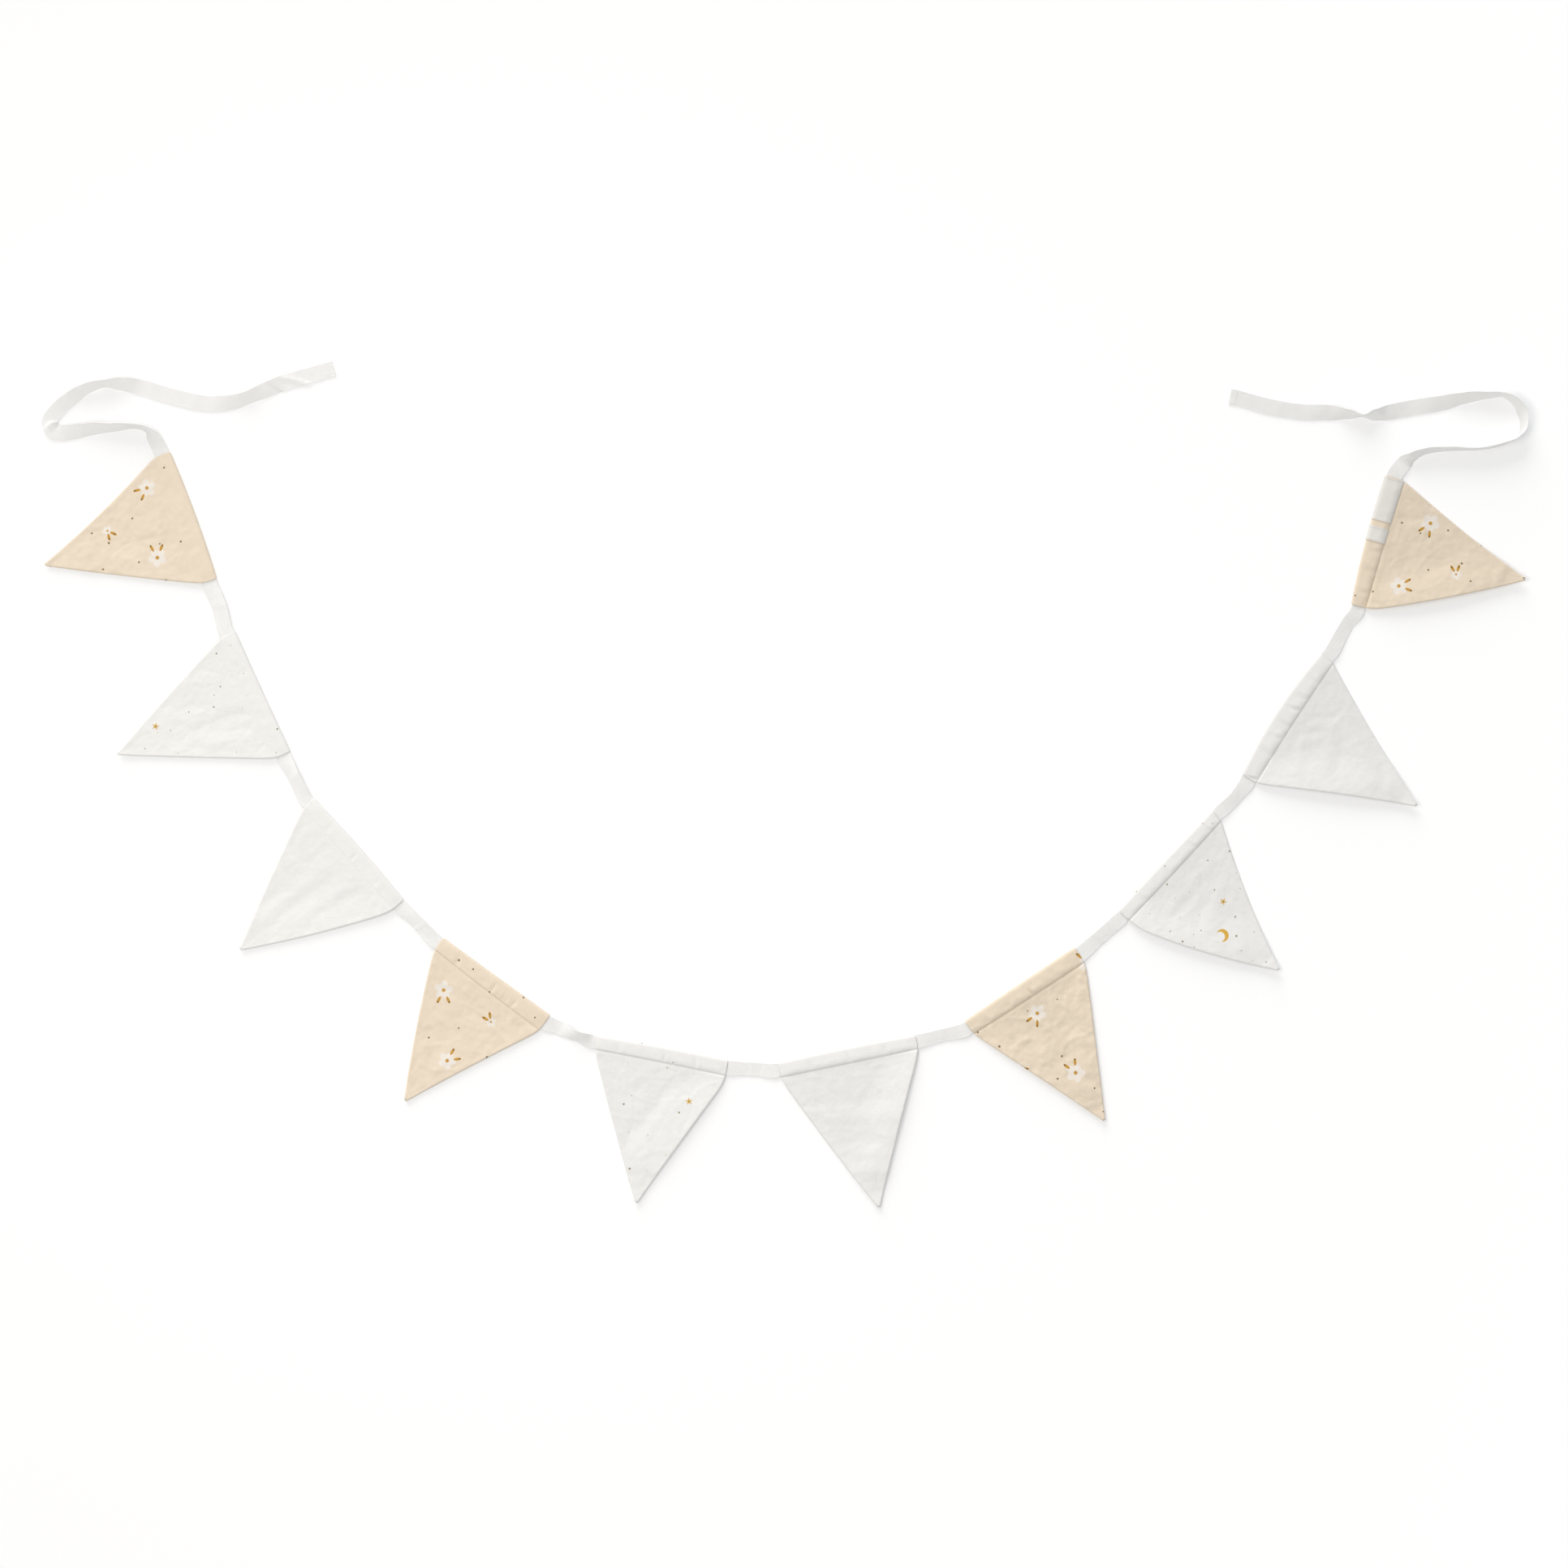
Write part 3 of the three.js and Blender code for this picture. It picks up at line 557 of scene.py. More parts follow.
def panel_points(number, u, q, upper):
    """Points of a panel, on its upper or its lower face."""
    flag, wear = FLAGS[number - 1], WEAR[number - 1]
    along, down, start_edge, end_edge = panel_places(number, u, q)
    from_start, from_end = along - start_edge, end_edge - along
    below = down - through(wear.seam, u)
    edge = hump(np.minimum(q + EDGE_LIFT_SHIFT, 1))
    lift_start, lift_end, lift_tip = flag.lift
    lift = lift_tip * q**TIP_CURL_POWER + FOLD_SHARE * fold_height(FOLDS, number, along, down)
    lift += lift_start * edge * fall_off(from_start, EDGE_LIFT_REACH)
    lift += lift_end * edge * fall_off(from_end, EDGE_LIFT_REACH)
    lift = np.maximum(lift - SETTLED_BY, 0)
    lift += wear.flush * (CROWN_HEIGHT - SEAM_HEIGHT) * fall_off(below, FLUSH_REACH)
    lift += STITCH_HEIGHT * fall_off(below, STITCH_REACH)

    rim = np.minimum(np.minimum(from_start, from_end), flag.drop - down + TIP_BLUNT)
    shape = np.maximum(round_rim(rim / EDGE_ROUND), EDGE_LEAST)
    seam = fall_off(rim, SEAM_REACH)
    thickness = between(WALL, PANEL_THICKNESS, ease(below, 0, FULL_BY)) + SEAM_BULK * seam
    relief = fold_height(CREASES, number, along, down)
    for lump in LUMPS:
        relief += lump.height * wear.crumple * uneven(along, down, lump.size, number + lump.seed)
    wrinkles = uneven(along / WRINKLE_STRETCH, down, WRINKLE_LUMP, number + WRINKLE_RISE_SEED)
    relief += WRINKLE_RISE * wear.crumple * fall_off(wrinkles, WRINKLE_WIDTH)
    wrinkles = uneven(along, down / WRINKLE_STRETCH, WRINKLE_LUMP, number + WRINKLE_SINK_SEED)
    relief -= WRINKLE_SINK * wear.crumple * fall_off(wrinkles, WRINKLE_WIDTH)
    relief += SEAM_LUMP_HEIGHT * seam * uneven(down, from_start, SEAM_LUMP, number + SEAM_LUMP_SEED)
    relief *= ease(below, 0, CREASED_BY)
    swell, sunk = fall_off(below - SWELL_AT, SWELL_REACH), fall_off(below, GROOVE_REACH)
    relief += wear.groove * (GROOVE_DEPTH * swell - GROOVE_DEPTH * sunk)
    lower_face = lift + EDGE_MIDDLE * thickness * (1 - shape) + LEAST_HEIGHT
    upper_face = lift + thickness * (EDGE_MIDDLE + (1 - EDGE_MIDDLE) * shape) + relief * shape
    upper_face = np.maximum(upper_face, lower_face + LEAST_THICKNESS)
    x, y = on_cloth(flag.heading, flag.x, flag.y, along, down)
    return np.stack([x, y, np.where(upper > 0.5, upper_face, lower_face)], 1)


print("settled height of a panel in mm:", PANEL_THICKNESS)

# %% [markdown]
# ## The ten flags
# Casing and panel are one cloth, so they are one slab: its first rows go round the casing and the rest run
# down to the point. The columns stand closer at both sides, where the seam is round. The print is cut
# through anywhere, so each flag maps its cloth from another place of the printed length. Two meshes that
# meet at the stitching would be easier to lay, but the light would show where they meet.

# %% Flags
COLUMNS = 96
CASING_ROWS = 48
PANEL_ROWS = 88
CASING_SHARE = CASING_ROWS / (CASING_ROWS + PANEL_ROWS)
UNDERSIDE_ROWS = 0.25
UNDERSIDE_PART = 0.45
CROWDING = 0.55
ROW_MARGIN = 1e-4
RIM_LEAST = 0.3
ROWS_CROWDING = 0.4


def in_casing(v):
    return v < CASING_SHARE + ROW_MARGIN


def crowd_to_sides(u):
    return between(u, (1 - np.cos(math.pi * u)) / 2, CROWDING)


def casing_part(v):
    """The part of the casing's run at a row: few rows below, many on top."""
    return np.interp(v / CASING_SHARE, [0, UNDERSIDE_ROWS, 1], [0, UNDERSIDE_PART, 1])


def panel_part(v):
    """How far down the panel a row is: rows stand closer next to the stitching."""
    part = np.clip((v - CASING_SHARE) / (1 - CASING_SHARE), 0, 1)
    return between(part, part**2, ROWS_CROWDING)


def make_flag(number):
    flag, wear = FLAGS[number - 1], WEAR[number - 1]

    def place(u, v, upper):
        u = crowd_to_sides(u)
        points = np.empty((len(u), 3))
        sewn = in_casing(v)
        end_distance = np.minimum(u[sewn], 1 - u[sewn]) * flag.width
        half = WALL / 2 * np.maximum(round_rim(end_distance / WALL), RIM_LEAST)
        out = np.where(upper[sewn] > 0.5, half, -half)
        points[sewn] = casing_points(number, u[sewn], casing_part(v[sewn]), out)
        points[~sewn] = panel_points(number, u[~sewn], panel_part(v[~sewn]), upper[~sewn])
        return points

    def flat(u, v):
        u = crowd_to_sides(u)
        along, down, _, _ = panel_places(number, u, panel_part(v))
        turned = (casing_part(v) - 1) * SECTION_RUN + through(wear.seam, u)
        down = np.where(in_casing(v), turned, down)
        return np.stack(on_cloth(wear.print_turn, wear.print_x, wear.print_y, along, down), 1)

    slab = unit_slab(COLUMNS, CASING_ROWS + PANEL_ROWS)
    return lay_sheet(f"muslin_flag_{number:02d}", slab, place, flat)


flag_pieces = [make_flag(number) for number in range(1, len(FLAGS) + 1)]
print("points a flag:", len(flag_pieces[0].data.vertices))

# %% [markdown]
# ## The row of stitching
# One row of machine stitches closes each casing. At this size each stitch is a short, plump stroke of
# thread that sinks into the cloth. A curve with a dashed texture could show it, but real strokes catch the
# light, so each is a stretched ball with few faces, and all the strokes of a flag are one mesh.

# %% Casing stitches
STITCH_PITCH = 2.7
STITCH_LENGTH = 2.0
STITCH_THREAD = 0.42
STITCH_SINK = 0.12
FLUSH_SINK = 0.2
STITCH_SIDES = 6
STITCH_RINGS = 4


def add_stitch(shape, start, end, thread):
    """A stroke of thread from start to end, in mm."""
    start, end = Vector(start), Vector(end)
    turn = (end - start).to_track_quat("X", "Z").to_matrix().to_4x4()
    size = Matrix.Diagonal(((end - start).length * MM, thread * MM, thread * MM, 1))
    middle = Matrix.Translation((start + end) / 2 * MM)
    bmesh.ops.create_uvsphere(shape, u_segments=STITCH_SIDES, v_segments=STITCH_RINGS, radius=0.5,
                              matrix=middle @ turn @ size)


def strokes(starts, length):
    """The start and the end of each stroke of a length, in one row."""
    return np.repeat(starts, 2) + np.tile([0, length], len(starts))


def stitch_row(name, spots, thread):
    """Strokes of thread between pairs of neighbouring spots, every other gap left open."""
    shape = bmesh.new()
    for start, end in zip(spots[0::2], spots[1::2]):
        add_stitch(shape, start, end, thread)
    for face in shape.faces:
        face.smooth = True
    return add_piece(name, shape)


def make_casing_stitches(number):
    flag = FLAGS[number - 1]
    starts = np.arange(STITCH_PITCH / 2, flag.width - STITCH_PITCH, STITCH_PITCH)
    along = strokes(starts, STITCH_LENGTH)
    part = np.ones(len(along))
    spots = casing_points(number, casing_place(number, along, part), part, np.full(len(along), WALL / 2))
    spots[:, 2] -= STITCH_SINK + FLUSH_SINK * WEAR[number - 1].flush
    return stitch_row(f"casing_stitches_{number:02d}", spots, STITCH_THREAD)


stitch_pieces = [make_casing_stitches(number) for number in range(1, len(FLAGS) + 1)]
print("faces in one row of stitches:", len(stitch_pieces[0].data.polygons))

# %% [markdown]
# ## The tape
# One flat cotton tape runs through all ten casings. It isn't flat everywhere: at both ends it stands on its
# edge through the turns, and near the right end it stands up once more and lies down again. So it is a
# ribbon that is swept along a smooth route, with a lean at each row of the route. A curve with a bevel
# could make it too, but its roll is hard to steer. Outside the casings these rows are those of the part's
# own tape. Inside them the stitching draws it in, so there it is a little narrower and lies nearer to the
# fold.

# %% Rows of the tape
# Rows of both free ends and of the gaps between the flags: x, y and the lean in degrees.
LEFT_TAIL = [
    (-427, 394.3, 0), (-447, 388.5, 0), (-470.5, 382, 0), (-490, 374, -20), (-509, 366, -38),
    (-524, 361.5, -20), (-549, 361, 0), (-582, 368, 0), (-609, 376, 0), (-627, 379, -32),
    (-644, 379.5, -66), (-660.5, 375, -52), (-676.5, 365, -22), (-689.5, 354, -10), (-696.5, 343.5, -6),
    (-693.5, 336, 0), (-686, 333, 8), (-674, 334, 18), (-657, 336.5, 38), (-636, 338, 60),
    (-614.5, 339, 77), (-604, 336, 70), (-597.5, 328, 25),
]
BETWEEN_FLAGS = [
    [(-536, 169.5, 10)], [(-465, 6, 20)], [(-350, -131, 15)], [(-212.5, -232.5, 0), (-196, -239.8, 40)],
    [(-31.5, -271.5, 0)], [(149.5, -240, 5)], [(300, -146, 6)], [(428, -15, 8)], [(535, 151, 5)], [],
]
RIGHT_TAIL = [
    (587, 303, -8), (595.5, 310, 52), (607.6, 315.3, 69), (630.5, 317.5, 79), (657.5, 317.5, 86),
    (680.5, 322, 84), (696, 329, 89), (701, 339.5, 110), (699.5, 353, 124), (692, 363.5, 113),
    (682, 368.5, 102), (669, 368.5, 111), (646, 366, 135), (623, 361, 165), (596, 357, 180),
    (574.5, 352.5, 168), (561.5, 350, 138), (548, 349, 94), (534.5, 350.5, 125), (516.5, 352, 164),
    (489.5, 353, 180), (457.5, 358.5, 180), (434.5, 365, 180), (423, 367.5, 180),
]
print("rows of both free ends:", len(LEFT_TAIL) + len(RIGHT_TAIL))

# %% The tape's route
TAPE_WIDTH = 14.5
SOLID_TAPE_THICKNESS = 1.0
TAPE_FLOOR_GAP = 0.05
TAPE_IN_CASING = 1.7
CASING_MIDDLE = 8.45
CASING_STATIONS = (0, 0.25, 0.5, 0.75, 1)
CASING_LEAD = 4
TAPE_FROM_FOLD = 1.15
TAPE_CLEARANCE = 2.0
Row = namedtuple("Row", "x y height lean wide")


def lying_height(lean):
    """The height of the tape's middle where its lower edge touches the table; lean in degrees."""
    roll = np.radians(lean)
    return (TAPE_WIDTH * abs(np.sin(roll)) + SOLID_TAPE_THICKNESS * abs(np.cos(roll))) / 2 + TAPE_FLOOR_GAP


def free_rows(rows, wide=1, shift=(0, 0)):
    """Rows of tape that lies on the table, each an x, a y and a lean."""
    return [Row(x + shift[0], y + shift[1], lying_height(lean), lean, wide) for x, y, lean in rows]


def tape_in_casing(number, u):
    """The share of its width that the tape keeps in a casing, and how far its middle is from the fold."""
    wide = min(1, (casing_depth(number, u) - TAPE_CLEARANCE) / TAPE_WIDTH)
    return wide, min(CASING_MIDDLE, TAPE_FROM_FOLD + wide * TAPE_WIDTH / 2)


def gap_rows(number, rows):
    """The tape's rows after a flag, as wide and as near to the folds as in the casings on both sides."""
    wide, shift = 0, Vector((0, 0))
    for neighbour, u in ((number, 1), (min(number + 1, len(FLAGS)), 0)):
        share, middle = tape_in_casing(neighbour, u)
        turn = math.radians(FLAGS[neighbour - 1].heading)
        wide += share / 2
        shift += Vector((-math.sin(turn), math.cos(turn))) * (CASING_MIDDLE - middle) / 2
    return free_rows(rows, wide, shift)


def casing_rows(number):
    """The tape's rows inside one casing, where the stitching draws it in, led straight out of both ends."""
    flag = FLAGS[number - 1]
    lead = CASING_LEAD / flag.width
    rows = []
    for u in (-lead, *CASING_STATIONS, 1 + lead):
        wide, middle = tape_in_casing(number, min(max(u, 0), 1))
        x, y = on_cloth(flag.heading, flag.x, flag.y, u * flag.width, middle - through(flag.fold, u))
        rows.append(Row(x, y, TAPE_IN_CASING, 0, wide if 0 <= u <= 1 else (1 + wide) / 2))
    return rows


route = free_rows(LEFT_TAIL)
for number, gap in enumerate(BETWEEN_FLAGS, start=1):
    route += casing_rows(number) + gap_rows(number, gap)
route = np.array(route + free_rows(RIGHT_TAIL))
print("rows in the tape's route:", len(route), "narrowest share of its width:", round(route[:, 4].min(), 2))

# %% [markdown]
# ## The tape's ribbon
# The route is walked in steps of equal length, and at each step the ribbon is turned by its lean. It waves
# a little, its edges are never quite straight, and where it was folded in its packing it keeps creases:
# soft ones, and sharp ones that slant. The mesh bends at a sharp fold, where a bump in the finish would
# keep the edge straight.

# %% The tape's lie
TAPE_STEP = 1.5
CURVE_STEPS = 24
fine_places = np.linspace(0, len(route) - 1, CURVE_STEPS * len(route))
fine_points = smooth_curve(route[:, :3], fine_places)
fine_steps = np.linalg.norm(np.diff(fine_points, axis=0), axis=1)
fine_length = np.concatenate([[0], np.cumsum(fine_steps)])
TAPE_LENGTH = fine_length[-1]
TAPE_ROWS = int(TAPE_LENGTH / TAPE_STEP)
tape_runs = np.linspace(0, TAPE_LENGTH, TAPE_ROWS + 1)
tape_places = np.interp(tape_runs, fine_length, fine_places)
tape_middle = smooth_curve(route[:, :3], tape_places)
tape_row = np.minimum(tape_places.astype(int), len(route) - 2)
tape_ease = ease(tape_places - tape_row, 0, 1)
tape_lean = between(route[tape_row, 3], route[tape_row + 1, 3], tape_ease)
tape_wide = between(route[tape_row, 4], route[tape_row + 1, 4], tape_ease)
tape_middle[:, 2] = np.maximum(tape_middle[:, 2], lying_height(tape_lean))
tape_way = np.gradient(tape_middle[:, :2], axis=0)
tape_way /= np.linalg.norm(tape_way, axis=1, keepdims=True)
left_of_tape = np.stack([-tape_way[:, 1], tape_way[:, 0], np.zeros(len(tape_way))], 1)
UP = np.array([0.0, 0.0, 1.0])
tape_cos = np.cos(np.radians(tape_lean))[:, None]
tape_sin = np.sin(np.radians(tape_lean))[:, None]
TAPE_ACROSS = tape_cos * left_of_tape + tape_sin * UP
TAPE_FACE = tape_cos * UP - tape_sin * left_of_tape
print("tape length in mm:", round(TAPE_LENGTH), "steps:", TAPE_ROWS)

# %% Creases of the tape
TapeCrease = namedtuple("TapeCrease", "x y slant rise spread")
TAPE_CREASES = [TapeCrease(*row) for row in (
    (-440, 390, 0.2, 0.25, 2.5), (-560, 362, 0.3, 0.25, 4), (-600, 373, -0.4, 0.3, 3),
    (-536, 170, 0.3, 0.3, 3), (-465, 6, -0.4, 0.3, 3), (-344, -134, 0.2, 0.4, 1.5),
    (-31, -271, 0.0, 0.4, 1.6), (-22, -271, 0.1, -0.3, 2), (150, -240, 0.2, 0.3, 3),
    (300, -146, -0.2, 0.3, 2.5), (428, -15, 0.3, 0.3, 3), (535, 151, 0.5, 0.4, 3), (500, 353, 0.3, 0.3, 3),
    (470, 356, -0.3, 0.25, 4), (610, 359, 0.4, 0.3, 4),
)]
TapeFold = namedtuple("TapeFold", "x y slant rise before after")
TAPE_FOLDS = [TapeFold(*row) for row in (
    (-462, 382.7, -1.67, 1.4, 1.6, 14), (-484, 377.6, -0.73, -0.9, 1.6, 10),
    (-697, 341.5, -0.5, 2.2, 2.5, 11), (-204, -236.5, -0.5, 0.5, 1.6, 9),
)]
print("soft creases:", len(TAPE_CREASES), "sharp folds:", len(TAPE_FOLDS))

# %% Ribbon of tape
TAPE_COLUMNS = 12
TAPE_THICKNESS = 0.7
SHARP_EDGE = math.radians(50)
HEM_LENGTH = 7.0
HEM_BULK = 0.4
HEM_STEP = 0.8
ON_EDGE = 1e-6
TAPE_WAVE = 0.15
TAPE_WAVE_LUMP = 24
TAPE_WAVE_SEED = 7
EDGE_WAVE = 0.03
EDGE_WAVE_LUMP = 11
EDGE_WAVE_SEED = 3


def tape_half(row):
    """Half the tape's thickness, which is more at its hems than elsewhere."""
    from_end = np.minimum(tape_runs[row], TAPE_LENGTH - tape_runs[row])
    bulk = HEM_BULK * (1 - ease(from_end, HEM_LENGTH - HEM_STEP, HEM_LENGTH))
    return (TAPE_THICKNESS + bulk) / 2


def tape_side(row):
    """1 where the tape lies face up and -1 where it lies face down."""
    return np.sign(np.cos(np.radians(tape_lean[row])) + ON_EDGE)


def run_beyond(spot, run, across):
    """How far a place on the tape lies beyond a slanting line that crosses it at a spot."""
    nearest = np.argmin(np.hypot(tape_middle[:, 0] - spot.x, tape_middle[:, 1] - spot.y))
    return run - tape_runs[nearest] - spot.slant * across


def tape_points(row, across, out):
    """Points of the tape: a row along it, across from its middle and out from its middle face, in mm."""
    run = tape_runs[row]
    lift = TAPE_WAVE * uneven(run, across, TAPE_WAVE_LUMP, TAPE_WAVE_SEED)
    for crease in TAPE_CREASES:
        lift = lift + crease.rise * fall_off(run_beyond(crease, run, across), crease.spread)
    for fold in TAPE_FOLDS:
        beyond = run_beyond(fold, run, across)
        lift = lift + fold.rise * ease(beyond, -fold.before, 0) * (1 - ease(beyond, 0, fold.after))
    wide = tape_wide[row] * (1 + EDGE_WAVE * uneven(run, np.sign(across), EDGE_WAVE_LUMP, EDGE_WAVE_SEED))
    points = tape_middle[row] + TAPE_ACROSS[row] * (across * wide)[:, None]
    points = points + TAPE_FACE[row] * (out + tape_side(row) * lift)[:, None]
    points[:, 2] = np.maximum(points[:, 2], LEAST_HEIGHT)
    return points


def place_tape(u, v, upper):
    row = np.rint(v * TAPE_ROWS).astype(int)
    half = tape_half(row)
    return tape_points(row, (u - 0.5) * TAPE_WIDTH, np.where(upper > 0.5, half, -half))


def flat_tape(u, v):
    return np.stack([(u - 0.5) * TAPE_WIDTH, v * TAPE_LENGTH], 1)


tape_piece = lay_sheet("cotton_tape", unit_slab(TAPE_COLUMNS, TAPE_ROWS), place_tape, flat_tape)
tape_piece.data.set_sharp_from_angle(angle=SHARP_EDGE)
print("points of the tape:", len(tape_piece.data.vertices))

# %% [markdown]
# ## The tape's hems
# Both ends are turned over once and sewn across, so that they don't fray. The ribbon is already thicker
# there. The stitches are the same plump strokes as on the flags, on the face that lies up, where flat paint
# would not catch light.

# %% Hem stitches of the tape
HEM_STITCHES = 7
HEM_STITCH_IN = 0.7
HEM_STITCH_REACH = 0.46


def make_hem_stitches(name, run):
    """A row of stitches across the tape, on the face that lies on top."""
    row = np.full(2 * HEM_STITCHES, round(run / TAPE_LENGTH * TAPE_ROWS))
    across = np.linspace(-HEM_STITCH_REACH, HEM_STITCH_REACH, 2 * HEM_STITCHES) * TAPE_WIDTH
    spots = tape_points(row, across, tape_side(row) * tape_half(row))
    return stitch_row(name, spots, STITCH_THREAD)


hem_pieces = [
    make_hem_stitches("hem_stitches_left", HEM_LENGTH - HEM_STITCH_IN),
    make_hem_stitches("hem_stitches_right", TAPE_LENGTH - HEM_LENGTH + HEM_STITCH_IN),
]
print("hem stitches:", len(hem_pieces) * HEM_STITCHES)

# %% [markdown]
# ## Two bare labels
# The last flag carries a long and a short woven label round its casing, both plain. A label is a thin sheet
# that follows the casing under it. A Shrinkwrap modifier could press a flat strip onto the casing, but it
# is simpler to lay it by the casing's own shape, a little further out. Its ends are turned under, which
# makes them thicker, and sewn down with small stitches along its ends and its lower side.

# %% Labels
LABEL_FLAG = len(FLAGS)
LABEL_THICKNESS = 0.5
LABEL_GAP = 0.15
LABEL_FROM = 0.44
LABEL_TO = 0.985
LABEL_HEM = 2.2
LABEL_HEM_BULK = 0.2
LABEL_HEM_STEP = 0.5
LABEL_STITCH_IN = 1.3
Label = namedtuple("Label", "name start end columns")
LABELS = [Label("label_long", 84, 125.8, 40), Label("label_short", 63.8, 77.8, 16)]
LABEL_ROWS = 30


def label_points(along, part, out):
    """Points of a label, out from the face of the casing under it."""
    u = casing_place(LABEL_FLAG, along, part)
    return casing_points(LABEL_FLAG, u, part, WALL / 2 + LABEL_GAP + out)


def label_bulk(label, along):
    """How much thicker a label is at its turned ends than elsewhere."""
    from_end = np.minimum(along - label.start, label.end - along)
    return LABEL_HEM_BULK * (1 - ease(from_end, LABEL_HEM - LABEL_HEM_STEP, LABEL_HEM))


def make_label(label):
    def place(u, v, upper):
        along = between(label.start, label.end, u)
        thickness = LABEL_THICKNESS + label_bulk(label, along)
        return label_points(along, between(LABEL_FROM, LABEL_TO, v), np.where(upper > 0.5, thickness, 0))

    def flat(u, v):
        run = between(LABEL_FROM, LABEL_TO, v) * SECTION_RUN
        return np.stack([between(label.start, label.end, u), run], 1)

    piece = lay_sheet(f"woven_{label.name}", unit_slab(label.columns, LABEL_ROWS), place, flat)
    piece.data.set_sharp_from_angle(angle=SHARP_EDGE)
    return piece


label_pieces = [make_label(label) for label in LABELS]
print("labels:", [piece.name for piece in label_pieces])

# %% Label stitches
END_ROW_FROM = 0.56
END_ROW_TO = 0.94
END_ROW_PITCH = 0.05
END_ROW_STROKE = 0.034
SIDE_ROW_AT = 0.945
SIDE_ROW_PITCH = 2.6
SIDE_ROW_STROKE = 1.7
SIDE_ROW_SPARE = 1.5


def make_label_stitches(label):
    """Stitches along both ends of a label and along the side next to the casing's own row."""
    end_row = strokes(np.arange(END_ROW_FROM, END_ROW_TO, END_ROW_PITCH), END_ROW_STROKE)
    spots = []
    for along in (label.start + LABEL_STITCH_IN, label.end - LABEL_STITCH_IN):
        spots.append(label_points(np.full(len(end_row), along), end_row, LABEL_THICKNESS + LABEL_HEM_BULK))
    first, last = label.start + 2 * LABEL_STITCH_IN, label.end - 2 * LABEL_STITCH_IN - SIDE_ROW_SPARE
    side_row = strokes(np.arange(first, last, SIDE_ROW_PITCH), SIDE_ROW_STROKE)
    spots.append(label_points(side_row, np.full(len(side_row), SIDE_ROW_AT), LABEL_THICKNESS))
    return stitch_row(f"{label.name}_stitches", np.vstack(spots), STITCH_THREAD)


label_stitch_pieces = [make_label_stitches(label) for label in LABELS]
print("faces in the long label's stitches:", len(label_stitch_pieces[0].data.polygons))

# %% [markdown]
# ## Writing finishes as sums
# A finish is a net of nodes, but its pattern is plain maths on a place in the cloth. So one small class
# stands for the output of a node, and Python's own operators on it add Math nodes. A second class holds the
# material and adds every other node: its type, its settings, and what feeds its sockets. Each node could be
# added and linked by hand, but then one pattern would fill pages.

# %% A value and its operators
def operator(operation, swapped=False):
    """A method for one of Python's operators that adds a Math node; swapped for the reflected form."""
    def add_node(self, other):
        values = (other, self) if swapped else (self, other)
        return self.finish.math(operation, *values)

    return add_node


class Value:
    """The output of a node. Operators on it add Math nodes to the same finish."""

    def __init__(self, finish, socket):
        self.finish = finish
        self.socket = socket

    __add__ = operator("ADD")
    __radd__ = operator("ADD", swapped=True)
    __sub__ = operator("SUBTRACT")
    __rsub__ = operator("SUBTRACT", swapped=True)
    __mul__ = operator("MULTIPLY")
    __rmul__ = operator("MULTIPLY", swapped=True)
    __truediv__ = operator("DIVIDE")
    __rtruediv__ = operator("DIVIDE", swapped=True)
    __gt__ = operator("GREATER_THAN")
    __lt__ = operator("LESS_THAN")


operators = [name for name, item in vars(Value).items() if getattr(item, "__name__", "") == "add_node"]
print("operators that add a node:", len(operators))

# %% A finish and its nodes
SPECULAR = 0.2
SHEEN_ROUGHNESS = 0.6
Mottle = namedtuple("Mottle", "size low high")


